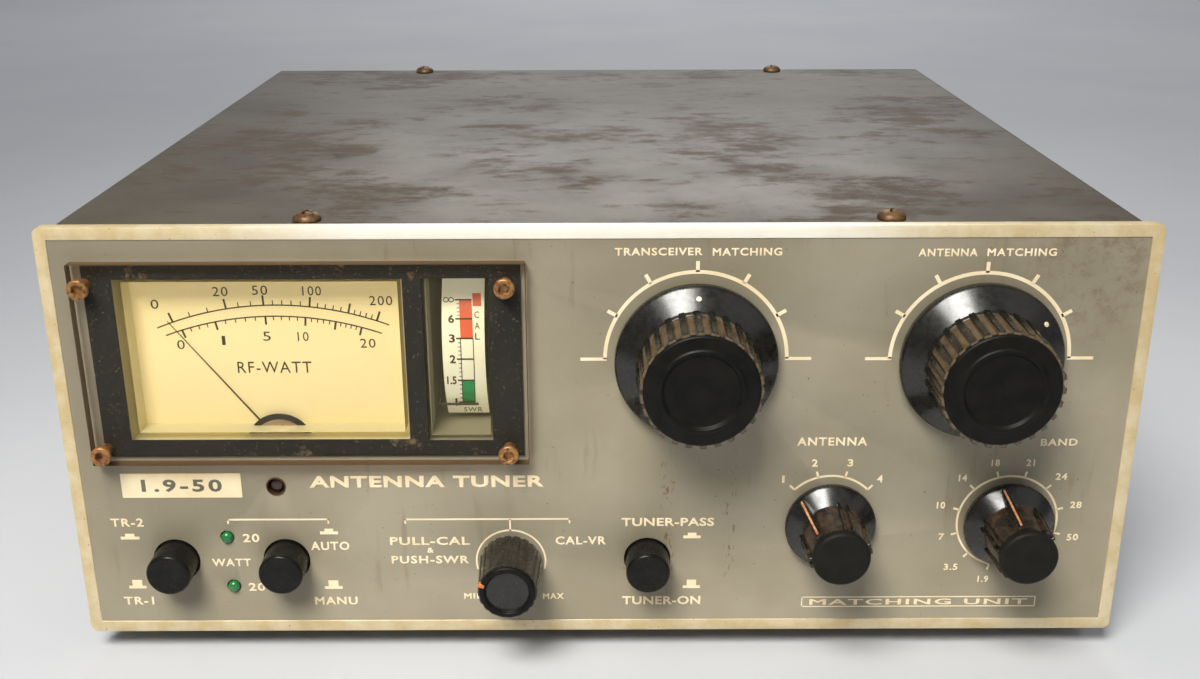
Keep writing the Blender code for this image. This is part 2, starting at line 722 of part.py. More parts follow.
def make_cover_screws():
    """Four round-headed screws through the cover into the chassis flanges."""
    steps = 3
    base = GAP
    for name, x, depth in cover_screw_places():
        profile = [(0.0, base + COVER_SCREW_RISE)]
        for step in range(1, steps + 1):
            turn = math.pi / 2 * step / steps
            profile.append(
                (COVER_SCREW_HEAD * math.sin(turn), base + COVER_SCREW_RISE * math.cos(turn))
            )
        profile += [
            (COVER_SCREW_SHANK, base),
            (COVER_SCREW_SHANK, -COVER_SCREW_LENGTH),
            (0.0, -COVER_SCREW_LENGTH),
        ]
        place = on_panel(x, depth, CASE_TOP)
        finish(turned(name, profile, place, ROUND_SMALL, upright=True), "brass")


def make_feet():
    """Four round rubber feet under the floor, each with a sunk screw hole."""
    edge = FOOT_EDGE
    for end, depth in (("front", WALL_FRONT + FOOT_INSET), ("rear", CASE_DEPTH - FOOT_INSET)):
        for side, across in (("left", -1), ("right", 1)):
            x = across * (CASE_WIDTH / 2 - FOOT_INSET)
            profile = [
                (0.0, FOOT_HEIGHT),
                (FOOT_RADIUS, FOOT_HEIGHT),
                (FOOT_RADIUS - edge, edge),
                (FOOT_RADIUS - 2 * edge, 0.0),
                (FOOT_SCREW_RADIUS, 0.0),
                (FOOT_SCREW_RADIUS, FOOT_SCREW_DEPTH),
                (0.0, FOOT_SCREW_DEPTH),
            ]
            place = on_panel(x, depth, FOOT_TOP - FOOT_HEIGHT)
            foot = turned("foot_" + end + "_" + side, profile, place, ROUND, upright=True)
            finish(foot, "rubber")


def make_meter_window():
    """The clear plate in front of both meters, and its four socket-headed screws."""
    left = WATT_LEFT - WINDOW_LEFT
    right = EDGE_RIGHT + WINDOW_RIGHT
    low = WATT_LOW - WINDOW_BELOW
    high = WATT_HIGH + WINDOW_ABOVE
    outlines = [rectangle(right - left, high - low, (left + right) / 2, (low + high) / 2)]
    for _, x, z in window_screw_places():
        outlines.append(circle(WINDOW_SCREW_SHANK + GAP, x, z, ROUND_SMALL))
    place = on_panel(0, -GAP - WINDOW_THICK / 2, 0)
    finish(outline_solid("meter_window", outlines, WINDOW_THICK, place), "clear")
    front = 2 * GAP + WINDOW_THICK
    for name, x, z in window_screw_places():
        head = WINDOW_SCREW_HEAD
        top = front + WINDOW_SCREW_HEIGHT
        profile = [
            (0.0, top),
            (head - WINDOW_SCREW_EDGE, top),
            (head, top - WINDOW_SCREW_EDGE),
            (head, front),
            (WINDOW_SCREW_SHANK, front),
            (WINDOW_SCREW_SHANK, GAP - PANEL_THICK),
            (0.0, GAP - PANEL_THICK),
        ]
        screw = turned("window_screw_" + name, profile, on_panel(x, 0, z), ROUND_SMALL)
        socket = outline_solid(
            "window_hex_" + name,
            [circle(HEX_RADIUS, sides=6)],
            2 * HEX_DEPTH,
            on_panel(x, -top, z),
        )
        cut(screw, socket)
        finish(screw, "brass")


def make_watt_meter():
    """The large moving-coil meter: clear case, base, dial, pole bridge and needle."""
    right = WATT_LEFT + WATT_WIDTH
    low_z = WATT_LOW - WATT_REAR_DROP
    case_back = METER_REAR_FRONT + WATT_REAR_DEPTH
    case = block_between(
        "watt_meter_case",
        (WATT_LEFT, METER_FRONT, WATT_LOW),
        (right, case_back, WATT_HIGH),
    )
    rear = block_between(
        "watt_case_rear",
        (WATT_LEFT, METER_REAR_FRONT, low_z),
        (right, case_back, WATT_Z),
    )
    front_hollow = block_between(
        "watt_front_hollow",
        (WATT_LEFT + WATT_WALL, METER_FRONT + METER_GLASS, WATT_LOW + WATT_WALL),
        (right - WATT_WALL, case_back + GAP, WATT_HIGH - WATT_WALL),
    )
    rear_hollow = block_between(
        "watt_rear_hollow",
        (
            WATT_LEFT + WATT_REAR_WALL,
            METER_REAR_FRONT + WATT_REAR_SKIN,
            low_z + WATT_REAR_WALL,
        ),
        (right - WATT_REAR_WALL, case_back + 2 * GAP, WATT_HIGH - WATT_REAR_WALL),
    )
    join(case, rear)
    cut(case, front_hollow, rear_hollow)
    finish(case, "clear")
    make_watt_base(case_back, low_z)
    make_watt_dial()
    make_watt_bridge()
    make_watt_needle()


def make_watt_base(case_back, low_z):
    """The meter's back plate with the round magnet housing behind it."""
    middle_z = (low_z + WATT_HIGH) / 2
    base = block_between(
        "watt_meter_base",
        (WATT_LEFT, case_back + GAP, low_z),
        (WATT_LEFT + WATT_WIDTH, case_back + GAP + METER_BACK_THICK, WATT_HIGH),
    )
    magnet = rod(
        "watt_magnet", MAGNET_RADIUS, (WATT_X, case_back + 2 * GAP, middle_z), MAGNET_LENGTH
    )
    join(base, magnet)
    finish(base, "black")


def make_watt_dial():
    """The flat dial plate behind the needle."""
    inset = WATT_REAR_WALL + GAP
    dial = block_between(
        "watt_meter_dial",
        (WATT_LEFT + inset, DIAL_DEPTH, PIVOT_Z + NEEDLE_HUB + 2 * GAP),
        (WATT_LEFT + WATT_WIDTH - inset, DIAL_DEPTH + DIAL_THICK, WATT_HIGH - inset),
    )
    finish(dial, "dial")


def make_watt_bridge():
    """The pivot bridge: a round-topped plate before the needle, joined below it to the core."""
    low = -BRIDGE_DROP
    start = math.degrees(math.asin(low / BRIDGE_RADIUS))
    place = on_panel(PIVOT_X, BRIDGE_DEPTH + BRIDGE_THICK / 2, PIVOT_Z)
    outline = sector(BRIDGE_RADIUS, 0.0, start, 180.0 - start)
    bridge = outline_solid("watt_meter_bridge", [outline], BRIDGE_THICK, place)
    core_depth = DIAL_DEPTH + DIAL_THICK + GAP
    core_back = core_depth + CORE_LENGTH
    core = rod("watt_core", CORE_RADIUS, (PIVOT_X, core_depth, PIVOT_Z + CORE_RADIUS), CORE_LENGTH)
    tie = block_between(
        "watt_bridge_tie",
        (PIVOT_X - CORE_RADIUS / 2, BRIDGE_DEPTH + GAP, PIVOT_Z + low),
        (PIVOT_X + CORE_RADIUS / 2, core_back - GAP, PIVOT_Z - NEEDLE_HUB - GAP),
    )
    rise = block_between(
        "watt_bridge_rise",
        (PIVOT_X - CORE_RADIUS / 2, core_depth, PIVOT_Z + low),
        (PIVOT_X + CORE_RADIUS / 2, core_back - GAP, PIVOT_Z + CORE_RADIUS),
    )
    join(bridge, tie, rise, core)
    finish(bridge, "black")


def make_watt_needle():
    """The needle, its hub on the pivot's axis, lying at zero."""
    tip = NEEDLE_WIDTH / 3
    length = WATT_HIGH - WATT_REAR_WALL - GAP - NEEDLE_SHORT - PIVOT_Z
    outline = [
        (-tip / 2, length),
        (-NEEDLE_WIDTH / 2, 0.0),
        (NEEDLE_WIDTH / 2, 0.0),
        (tip / 2, length),
    ]
    place = on_panel(PIVOT_X, NEEDLE_DEPTH + NEEDLE_THICK / 2, PIVOT_Z)
    needle = outline_solid("watt_meter_needle", [outline], NEEDLE_THICK, place)
    hub = rod("watt_hub", NEEDLE_HUB, (PIVOT_X, NEEDLE_DEPTH, PIVOT_Z), NEEDLE_THICK, ROUND_SMALL)
    turn_pointer(needle, -NEEDLE_REST_DEG)
    join(needle, hub)
    finish(needle, "black")


def make_edge_meter():
    """The edgewise meter: deep narrow case, curved scale and a pointer that swings up."""
    back = METER_FRONT + EDGE_DEPTH
    case = block_between(
        "swr_meter_case",
        (EDGE_LEFT, METER_FRONT, WATT_LOW),
        (EDGE_RIGHT, back, WATT_HIGH),
    )
    hollow = block_between(
        "swr_hollow",
        (EDGE_LEFT + EDGE_WALL, METER_FRONT + METER_GLASS, WATT_LOW + EDGE_WALL),
        (EDGE_RIGHT - EDGE_WALL, back + GAP, WATT_HIGH - EDGE_WALL),
    )
    cut(case, hollow)
    finish(case, "clear")
    arc = sector(
        ARC_RADIUS,
        ARC_RADIUS - ARC_SCALE_THICK,
        180.0 - ARC_HALF_DEG,
        180.0 + ARC_HALF_DEG,
    )
    place = on_panel(ARC_SCALE_X, ARC_AXIS_DEPTH, WATT_Z)
    scale = outline_solid("swr_meter_dial", [arc], ARC_SCALE_WIDTH, place, facing_front=False)
    face_right(scale)
    finish(scale, "dial")
    make_edge_pointer()


def make_edge_pointer():
    """The pointer: a hub, an arm beside the scale and a bar that crosses in front of it."""
    inner = ARC_RADIUS + POINTER_CLEARANCE
    outer = inner + POINTER_THICK
    side = POINTER_ARM
    arm_outline = [(-outer, 0.0), (-outer, -POINTER_THICK), (0.0, -side), (0.0, side)]
    bar_outline = [
        (-outer, 0.0),
        (-outer, -POINTER_THICK),
        (-inner, -POINTER_THICK),
        (-inner, 0.0),
    ]
    pieces = []
    for name, outline, width in (
        ("swr_meter_needle", arm_outline, side),
        ("swr_hub", circle(POINTER_HUB, sides=ROUND_SMALL), 2 * side),
        ("swr_bar", bar_outline, POINTER_RIGHT_X - POINTER_LEFT_X),
    ):
        place = on_panel(POINTER_LEFT_X + width / 2, ARC_AXIS_DEPTH, WATT_Z)
        piece = outline_solid(name, [outline], width, place, facing_front=False)
        face_right(piece, POINTER_REST_DEG)
        pieces.append(piece)
    join(pieces[0], *pieces[1:])
    finish(pieces[0], "black")


def make_tuning(prefix, x, rest_deg):
    """A variable capacitor behind the panel, and the large knob on its shaft."""
    make_capacitor_frame(prefix, x)
    make_capacitor_stator(prefix, x)
    make_capacitor_rotor(prefix, x, rest_deg)
    make_tuning_knob(prefix, x, rest_deg)


def capacitor_back():
    """How far behind the panel's face the rear end plate starts."""
    return FRAME_DEPTH + FRAME_THICK + VANE_PITCH * (VANE_COUNT + 1)


def make_capacitor_frame(prefix, x):
    """Two end plates and the two rods that hold them apart."""
    bore = circle(SHAFT_RADIUS + SHAFT_GAP)
    outlines = [rectangle(FRAME_SIZE, FRAME_SIZE), bore]
    front = outline_solid(
        prefix + "_capacitor_frame",
        outlines,
        FRAME_THICK,
        on_panel(x, FRAME_DEPTH + FRAME_THICK / 2, TUNING_Z),
    )
    back = outline_solid(
        prefix + "_rear_plate",
        outlines,
        FRAME_THICK,
        on_panel(x, capacitor_back() + FRAME_THICK / 2, TUNING_Z),
    )
    join(front, back)
    offset = FRAME_SIZE / 2 - FRAME_ROD_INSET
    length = capacitor_back() - FRAME_DEPTH
    for index, across in enumerate((-1, 1)):
        place = (x + across * offset, FRAME_DEPTH + FRAME_THICK / 2, TUNING_Z - offset)
        join(front, rod("%s_frame_rod_%d" % (prefix, index), FRAME_ROD, place, length, ROUND_SMALL))
    finish(front, "aluminium")


def make_capacitor_stator(prefix, x):
    """The fixed plates, half rings on two bars above the shaft."""
    first = FRAME_DEPTH + FRAME_THICK + VANE_PITCH / 2
    ring = sector(STATOR_OUTER, STATOR_INNER, 0.0, 180.0, HALF_STEPS)
    stator = None
    for index in range(VANE_COUNT + 1):
        depth = first + index * VANE_PITCH
        name = prefix + "_capacitor_stator" if index == 0 else "%s_stator_%d" % (prefix, index)
        plate = outline_solid(name, [ring], VANE_THICK, on_panel(x, depth, TUNING_Z))
        if stator is None:
            stator = plate
        else:
            join(stator, plate)
    bar = STATOR_BAR
    length = VANE_COUNT * VANE_PITCH
    for index, across in enumerate((-1, 1)):
        low = (x + across * (STATOR_OUTER - bar / 2) - bar / 2, first, TUNING_Z + GAP)
        high = (x + across * (STATOR_OUTER - bar / 2) + bar / 2, first + length, TUNING_Z + GAP + bar)
        join(stator, block_between("%s_stator_bar_%d" % (prefix, index), low, high))
    finish(stator, "aluminium")


def make_capacitor_rotor(prefix, x, rest_deg):
    """The shaft, from inside the knob to the rear plate, with its half-round plates."""
    shaft_front = -(FRONT_REACH - (KNOB_LENGTH - SHAFT_IN_KNOB))
    shaft_length = capacitor_back() + FRAME_THICK - shaft_front
    rotor = rod(
        prefix + "_capacitor_rotor", SHAFT_RADIUS, (x, shaft_front, TUNING_Z), shaft_length
    )
    first = FRAME_DEPTH + FRAME_THICK + VANE_PITCH
    half = sector(VANE_RADIUS, 0.0, 0.0, 180.0, HALF_STEPS)
    for index in range(VANE_COUNT):
        depth = first + index * VANE_PITCH
        vane = outline_solid(
            "%s_vane_%d" % (prefix, index), [half], VANE_THICK, on_panel(x, depth, TUNING_Z)
        )
        turn_pointer(vane, rest_deg)
        join(rotor, vane)
    finish(rotor, "aluminium")


def make_tuning_knob(prefix, x, rest_deg):
    """A round grip with ridges on a wide skirt, hollow behind, with a blind hole for the shaft."""
    back = FACE_GAP
    front = back + KNOB_LENGTH
    hollow = SKIRT_EDGE + SKIRT_RISE
    bore = SHAFT_RADIUS + GAP
    bore_end = back + SHAFT_IN_KNOB + GAP
    back_bore = bore + KNOB_BACK_SPACE
    edge = KNOB_EDGE
    profile = [
        (0.0, front - KNOB_RING_DEPTH),
        (KNOB_RING_RADIUS, front - KNOB_RING_DEPTH),
        (KNOB_RING_RADIUS + KNOB_RING_DEPTH, front),
        (GRIP_RADIUS - GRIP_FLUTE_DEPTH - edge, front),
        (GRIP_RADIUS - GRIP_FLUTE_DEPTH, front - edge),
        (GRIP_RADIUS - GRIP_FLUTE_DEPTH, back + SKIRT_EDGE + SKIRT_RISE),
        (SKIRT_RADIUS, back + SKIRT_EDGE),
        (SKIRT_RADIUS, back),
        (back_bore, back),
        (back_bore, back + hollow),
        (bore, back + hollow),
        (bore, bore_end),
        (0.0, bore_end),
    ]
    knob = turned(prefix + "_knob", profile, on_panel(x, 0, TUNING_Z), ROUND_LARGE)
    turn_pointer(knob, rest_deg)
    grip_length = front - edge - back - SKIRT_EDGE - SKIRT_RISE / 2
    outlines = [fluted(GRIP_RADIUS, GRIP_FLUTE_DEPTH, GRIP_FLUTES), circle(KNOB_RING_RADIUS)]
    grip = outline_solid(
        prefix + "_grip",
        outlines,
        grip_length,
        on_panel(x, -(front - edge - grip_length / 2), TUNING_Z),
    )
    turn_pointer(grip, rest_deg)
    join(knob, grip)
    finish(knob, "black")


def make_rotary_switch(prefix, x, rest_deg):
    """A wafer switch: index and wafers, the shaft with its rotors, and the pointer knob."""
    front = SWITCH_FRONT_DEPTH
    body = rod(prefix + "_switch_body", INDEX_RADIUS, (x, front, SWITCH_Z), INDEX_LENGTH)
    bush = rod(
        prefix + "_bush",
        BUSH_RADIUS,
        (x, -BUSH_FRONT, SWITCH_Z),
        BUSH_FRONT + front + INDEX_LENGTH / 2,
    )
    join(body, bush)
    wafer_start = front + INDEX_LENGTH + WAFER_PITCH - WAFER_THICK
    length = INDEX_LENGTH / 2 + WAFER_COUNT * WAFER_PITCH
    for index, across in enumerate((-1, 1)):
        place = (x + across * TIE_OFFSET, front + INDEX_LENGTH / 2, SWITCH_Z)
        join(body, rod("%s_tie_%d" % (prefix, index), TIE_RADIUS, place, length, ROUND_SMALL))
    lug = block_between(
        prefix + "_index_bar",
        (x - TIE_OFFSET - TIE_RADIUS, front, SWITCH_Z - 2 * TIE_RADIUS),
        (x + TIE_OFFSET + TIE_RADIUS, front + INDEX_LENGTH - GAP, SWITCH_Z + 2 * TIE_RADIUS),
    )
    join(body, lug)
    for index in range(WAFER_COUNT):
        depth = wafer_start + index * WAFER_PITCH
        ring = [circle(WAFER_RADIUS), circle(WAFER_BORE)]
        wafer = outline_solid(
            "%s_wafer_%d" % (prefix, index),
            ring,
            WAFER_THICK,
            on_panel(x, depth + WAFER_THICK / 2, SWITCH_Z),
        )
        join(body, wafer)
    bore_front = -BUSH_FRONT - GAP
    bore_length = front + INDEX_LENGTH + 2 * GAP - bore_front
    bore = rod(prefix + "_bush_bore", SHAFT_RADIUS + GAP, (x, bore_front, SWITCH_Z), bore_length)
    cut(body, bore)
    finish(body, "board")
    make_switch_rotor(prefix, x, wafer_start)
    make_pointer_knob(prefix, x, rest_deg)


def make_switch_rotor(prefix, x, wafer_start):
    """The switch's shaft, with a round contact disc in each wafer."""
    knob_front = FACE_GAP + SWITCH_KNOB_LENGTH
    shaft_front = -(knob_front - SHAFT_RADIUS)
    shaft_end = wafer_start + (WAFER_COUNT - 1) * WAFER_PITCH + 2 * WAFER_THICK
    rotor = rod(
        prefix + "_switch_rotor", SHAFT_RADIUS, (x, shaft_front, SWITCH_Z), shaft_end - shaft_front
    )
    for index in range(WAFER_COUNT):
        depth = wafer_start + index * WAFER_PITCH
        disc = rod("%s_disc_%d" % (prefix, index), WAFER_ROTOR, (x, depth, SWITCH_Z), WAFER_THICK)
        join(rotor, disc)
    finish(rotor, "zinc")


def make_pointer_knob(prefix, x, rest_deg):
    """A small knob with a skirt, ridges round its grip and a fin that points to the setting."""
    back = FACE_GAP
    front = back + SWITCH_KNOB_LENGTH
    hollow = BUSH_RADIUS + 4 * GAP
    hollow_end = BUSH_FRONT + 2 * GAP
    bore = SHAFT_RADIUS + GAP
    bore_end = front - SHAFT_RADIUS + GAP
    edge = SWITCH_KNOB_EDGE
    profile = [
        (0.0, front),
        (SWITCH_FRONT - edge, front),
        (SWITCH_FRONT, front - edge),
        (SWITCH_GRIP - SWITCH_RIDGE_DEPTH, back + SWITCH_SKIRT_EDGE + SWITCH_SKIRT_RISE),
        (SWITCH_SKIRT, back + SWITCH_SKIRT_EDGE),
        (SWITCH_SKIRT, back),
        (hollow, back),
        (hollow, hollow_end),
        (bore, hollow_end),
        (bore, bore_end),
        (0.0, bore_end),
    ]
    knob = turned(prefix + "_switch_knob", profile, on_panel(x, 0, SWITCH_Z), ROUND)
    turn_pointer(knob, rest_deg)
    ridge_front = front - RIDGE_INSET
    ridge_back = back + SWITCH_SKIRT_EDGE + SWITCH_SKIRT_RISE / 2
    ridge_length = ridge_front - ridge_back
    ridge_place = on_panel(x, -(ridge_back + ridge_length / 2), SWITCH_Z)
    ridges = outline_solid(
        prefix + "_ridges",
        [fluted(SWITCH_GRIP, SWITCH_RIDGE_DEPTH, SWITCH_RIDGES), circle(bore + edge)],
        ridge_length,
        ridge_place,
    )
    turn_pointer(ridges, rest_deg)
    fin_outline = rectangle(POINTER_FIN, SWITCH_SKIRT - bore - edge, 0.0, (SWITCH_SKIRT + bore) / 2)
    fin = outline_solid(prefix + "_fin", [fin_outline], ridge_length, ridge_place)
    turn_pointer(fin, rest_deg)
    slope = outline_solid(
        prefix + "_fin_slope",
        [
            [
                (SWITCH_SKIRT + edge, ridge_back + 2 * edge),
                (SWITCH_SKIRT + edge, front + edge),
                (SWITCH_FRONT - edge, front + edge),
                (SWITCH_FRONT + edge, ridge_front - edge),
            ]
        ],
        2 * POINTER_FIN,
        on_panel(x, 0, SWITCH_Z),
    )
    slope.rotation_mode = "YXZ"
    slope.rotation_euler = (0.0, -math.pi / 2 + math.radians(rest_deg), -math.pi / 2)
    cut(fin, slope)
    join(knob, ridges, fin)
    finish(knob, "black")


def make_calibration():
    """The pull-out calibration control: potentiometer, plunger, shaft and knob."""
    front = SWITCH_FRONT_DEPTH
    bore = CAL_SHAFT + GAP
    can = rod("cal_potentiometer", POT_RADIUS, (CAL_X, front, CAL_Z), POT_LENGTH)
    bush = rod("cal_bush", CAL_BUSH, (CAL_X, -CAL_BUSH_FRONT, CAL_Z), CAL_BUSH_FRONT + front + GAP)
    through = rod(
        "cal_bore",
        bore,
        (CAL_X, -CAL_BUSH_FRONT - GAP, CAL_Z),
        CAL_BUSH_FRONT + front + POT_LENGTH + 2 * GAP,
    )
    join(can, bush)
    cut(can, through)
    finish(can, "zinc")
    knob_front = FACE_GAP + CAL_LENGTH
    shaft_front = -(knob_front - 2 * CAL_SHAFT)
    shaft_end = front + POT_LENGTH / 2
    shaft = rod("cal_shaft", CAL_SHAFT, (CAL_X, shaft_front, CAL_Z), shaft_end - shaft_front)
    finish(shaft, "zinc")
    plunger = rod(
        "cal_plunger", PLUNGER_RADIUS, (CAL_X, shaft_end + GAP, CAL_Z), PLUNGER_LENGTH, ROUND_SMALL
    )
    finish(plunger, "black")
    hollow = CAL_BUSH + 2 * GAP
    hollow_end = CAL_BUSH_FRONT + 2 * GAP
    profile = [
        (0.0, knob_front - CAL_DISH),
        (CAL_FRONT - CAL_RIM, knob_front - CAL_DISH),
        (CAL_FRONT - CAL_RIM / 2, knob_front),
        (CAL_FRONT, knob_front - CAL_RIM / 2),
        (CAL_BASE, FACE_GAP),
        (hollow, FACE_GAP),
        (hollow, hollow_end),
        (bore, hollow_end),
        (bore, -shaft_front + GAP),
        (0.0, -shaft_front + GAP),
    ]
    knob = turned("cal_knob", profile, on_panel(CAL_X, 0, CAL_Z), CAL_FACETS)
    turn_pointer(knob, CAL_REST_DEG)
    finish(knob, "black")


def make_button(prefix, x):
    """A round push button in the panel, its plunger rod, and the switch behind it."""
    rod_end = BUTTON_TAIL + BUTTON_TRAVEL + SWITCH_BOX_LENGTH / 2
    profile = [
        (0.0, BUTTON_REACH),
        (BUTTON_RADIUS - BUTTON_EDGE, BUTTON_REACH),
        (BUTTON_RADIUS, BUTTON_REACH - BUTTON_EDGE),
        (BUTTON_RADIUS, -BUTTON_TAIL),
        (PLUNGER_ROD, -BUTTON_TAIL),
        (PLUNGER_ROD, -rod_end),
        (0.0, -rod_end),
    ]
    finish(turned(prefix + "_button", profile, on_panel(x, 0, BUTTON_Z), ROUND), "black")
    box_front = BUTTON_TAIL + BUTTON_TRAVEL + 2 * SHAFT_GAP
    box = block_between(
        prefix + "_button_switch",
        (x - SWITCH_BOX / 2, box_front, BUTTON_Z - SWITCH_BOX / 2),
        (x + SWITCH_BOX / 2, box_front + SWITCH_BOX_LENGTH, BUTTON_Z + SWITCH_BOX / 2),
    )
    bore = rod(
        prefix + "_switch_bore",
        PLUNGER_ROD + SHAFT_GAP,
        (x, box_front - GAP, BUTTON_Z),
        SWITCH_BOX_LENGTH / 2 + BUTTON_TRAVEL + 2 * GAP,
        ROUND_SMALL,
    )
    cut(box, bore)
    finish(box, "board")


def make_lamps():
    """Two small range lamps that stand out of the panel, and a pilot lamp sunk in its hole."""
    for name, (x, z) in LED_PLACES.items():
        profile = [
            (0.0, LED_REACH),
            (LENS_SHARE * LED_RADIUS, LENS_SHARE * LED_REACH),
            (LED_RADIUS, 0.0),
            (LED_RADIUS, -LAMP_LENGTH),
            (0.0, -LAMP_LENGTH),
        ]
        finish(turned(name + "_lamp", profile, on_panel(x, 0, z), ROUND_SMALL), "green")
    profile = [
        (0.0, -LAMP_SINK),
        (LENS_SHARE * LAMP_RADIUS, -LAMP_SINK - LENS_SHARE * LAMP_SINK),
        (LAMP_RADIUS, -LAMP_SINK - LAMP_RADIUS / 2),
        (LAMP_RADIUS, -LAMP_LENGTH),
        (0.0, -LAMP_LENGTH),
    ]
    finish(turned("pilot_lamp", profile, on_panel(LAMP_X, 0, LAMP_Z), ROUND_SMALL), "red")


def socket_places():
    """The coaxial sockets along the rear wall: name and x."""
    places = []
    for index in range(ANTENNA_SOCKETS):
        places.append(("antenna_socket_%d" % (index + 1), ANTENNA_SOCKET_X - index * SOCKET_PITCH))
    for index in range(TRANSCEIVER_SOCKETS):
        places.append(
            ("transceiver_socket_%d" % (index + 1), TRANSCEIVER_SOCKET_X - index * SOCKET_PITCH)
        )
    return places


def make_socket(name, x):
    """A flanged coaxial socket on the rear wall, its mouth to the rear."""
    end = SOCKET_FLANGE_THICK + SOCKET_REACH
    bottom = end - SOCKET_MOUTH_DEPTH
    profile = [
        (0.0, bottom - SOCKET_CONTACT_DEPTH),
        (SOCKET_CONTACT, bottom - SOCKET_CONTACT_DEPTH),
        (SOCKET_CONTACT, bottom),
        (SOCKET_MOUTH, bottom),
        (SOCKET_MOUTH, end),
        (SOCKET_BARREL, end),
        (SOCKET_BARREL, SOCKET_FLANGE_THICK / 2),
        (SOCKET_BODY, SOCKET_FLANGE_THICK / 2),
        (SOCKET_BODY, -SOCKET_BODY_LENGTH),
        (SOCKET_TAIL, -SOCKET_BODY_LENGTH),
        (SOCKET_TAIL, -SOCKET_BODY_LENGTH - SOCKET_TAIL_LENGTH),
        (0.0, -SOCKET_BODY_LENGTH - SOCKET_TAIL_LENGTH),
    ]
    socket = turned(name, profile, on_panel(x, SOCKET_FACE, SOCKET_Z), SOCKET_SIDES)
    socket.rotation_euler = (-math.pi / 2, 0.0, 0.0)
    half = SOCKET_FLANGE / 2
    flange = block_between(
        name + "_flange",
        (x - half, SOCKET_FACE, SOCKET_Z - half),
        (x + half, SOCKET_FACE + SOCKET_FLANGE_THICK, SOCKET_Z + half),
    )
    hole = rod(
        name + "_flange_hole",
        SOCKET_BARREL - GAP,
        (x, SOCKET_FACE - GAP, SOCKET_Z),
        SOCKET_FLANGE_THICK + 2 * GAP,
        SOCKET_SIDES,
    )
    cut(flange, hole)
    join(socket, flange)
    finish(socket, "nickel")


def make_earth_terminal():
    """The earth stud through the rear wall, with its nut."""
    profile = [
        (0.0, EARTH_REACH),
        (EARTH_STUD, EARTH_REACH),
        (EARTH_STUD, -EARTH_TAIL),
        (0.0, -EARTH_TAIL),
    ]
    stud = turned("earth_terminal", profile, on_panel(EARTH_X, SOCKET_FACE, EARTH_Z), ROUND_SMALL)
    stud.rotation_euler = (-math.pi / 2, 0.0, 0.0)
    nut = rod("earth_nut", EARTH_NUT, (EARTH_X, SOCKET_FACE, EARTH_Z), EARTH_NUT_THICK, 6)
    join(stud, nut)
    finish(stud, "brass")


def make_coil():
    """The tuning coil: a hollow former with its turns as ridges, across the chassis on two legs."""
    length = (COIL_TURNS + 1) * COIL_TURN_PITCH
    profile = [(COIL_BORE, length / 2), (COIL_RADIUS, length / 2)]
    for index in range(COIL_TURNS):
        top = length / 2 - (index + 0.5) * COIL_TURN_PITCH
        profile.append((COIL_RADIUS, top))
        profile.append((COIL_RADIUS - COIL_GROOVE, top - COIL_TURN_PITCH / 2))
    profile += [(COIL_RADIUS, -length / 2), (COIL_BORE, -length / 2), (COIL_BORE, length / 2)]
    axis_z = FLOOR_TOP + COIL_RISE + COIL_RADIUS
    coil = turned("tuning_coil", profile, on_panel(COIL_X, COIL_DEPTH, axis_z), ROUND)
    coil.rotation_euler = (0.0, math.pi / 2, 0.0)
    leg_top = axis_z - (COIL_RADIUS + COIL_BORE) / 2
    for name, across in (("left", -1), ("right", 1)):
        x = COIL_X + across * (length / 2 - COIL_LEG)
        low = (x - COIL_LEG / 2, COIL_DEPTH - COIL_LEG, FLOOR_TOP + GAP)
        high = (x + COIL_LEG / 2, COIL_DEPTH + COIL_LEG, leg_top)
        join(coil, block_between("coil_leg_" + name, low, high))
    finish(coil, "copper")


def make_board():
    """The circuit board behind the buttons, on four legs above the floor."""
    low_z = FLOOR_TOP + BOARD_RISE
    board = block_between(
        "circuit_board",
        (BOARD_X - BOARD_WIDTH / 2, BOARD_DEPTH - BOARD_LENGTH / 2, low_z),
        (BOARD_X + BOARD_WIDTH / 2, BOARD_DEPTH + BOARD_LENGTH / 2, low_z + BOARD_THICK),
    )
    half_x = BOARD_WIDTH / 2 - BOARD_LEG_INSET - BOARD_LEG / 2
    half_y = BOARD_LENGTH / 2 - BOARD_LEG_INSET - BOARD_LEG / 2
    for index, (across, along) in enumerate(((-1, -1), (1, -1), (1, 1), (-1, 1))):
        x = BOARD_X + across * half_x
        depth = BOARD_DEPTH + along * half_y
        low = (x - BOARD_LEG / 2, depth - BOARD_LEG / 2, FLOOR_TOP + GAP)
        high = (x + BOARD_LEG / 2, depth + BOARD_LEG / 2, low_z + BOARD_THICK / 2)
        join(board, block_between("board_leg_%d" % index, low, high))
    finish(board, "board")


def main():
    global PARTS, CUTTERS
    clear_scene()
    PARTS = add_collection("antenna_tuner")
    CUTTERS = add_collection("cutters")
    make_front_panel()
    make_chassis()
    make_top_cover()
    make_cover_screws()
    make_feet()
    make_meter_window()
    make_watt_meter()
    make_edge_meter()
    make_tuning("transceiver", TRANSCEIVER_X, TRANSCEIVER_REST_DEG)
    make_tuning("matching", MATCHING_X, MATCHING_REST_DEG)
    make_rotary_switch("antenna", ANTENNA_X, ANTENNA_REST_DEG)
    make_rotary_switch("band", BAND_X, BAND_REST_DEG)
    make_calibration()
    for prefix, x in BUTTON_XS.items():
        make_button(prefix, x)
    make_lamps()
    for name, x in socket_places():
        make_socket(name, x)
    make_earth_terminal()
    make_coil()
    make_board()


main()
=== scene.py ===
"""Antenna tuner: looks for the desktop matching unit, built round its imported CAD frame.

Lengths in the classes are millimetres. Places are given from the middle of the front panel's face:
x to the right, depth to the rear and z up. Datum turns them into the frame's metres.
"""

import logging
import math
from collections.abc import Callable, Iterator
from contextlib import contextmanager
from dataclasses import dataclass, field
from enum import Enum

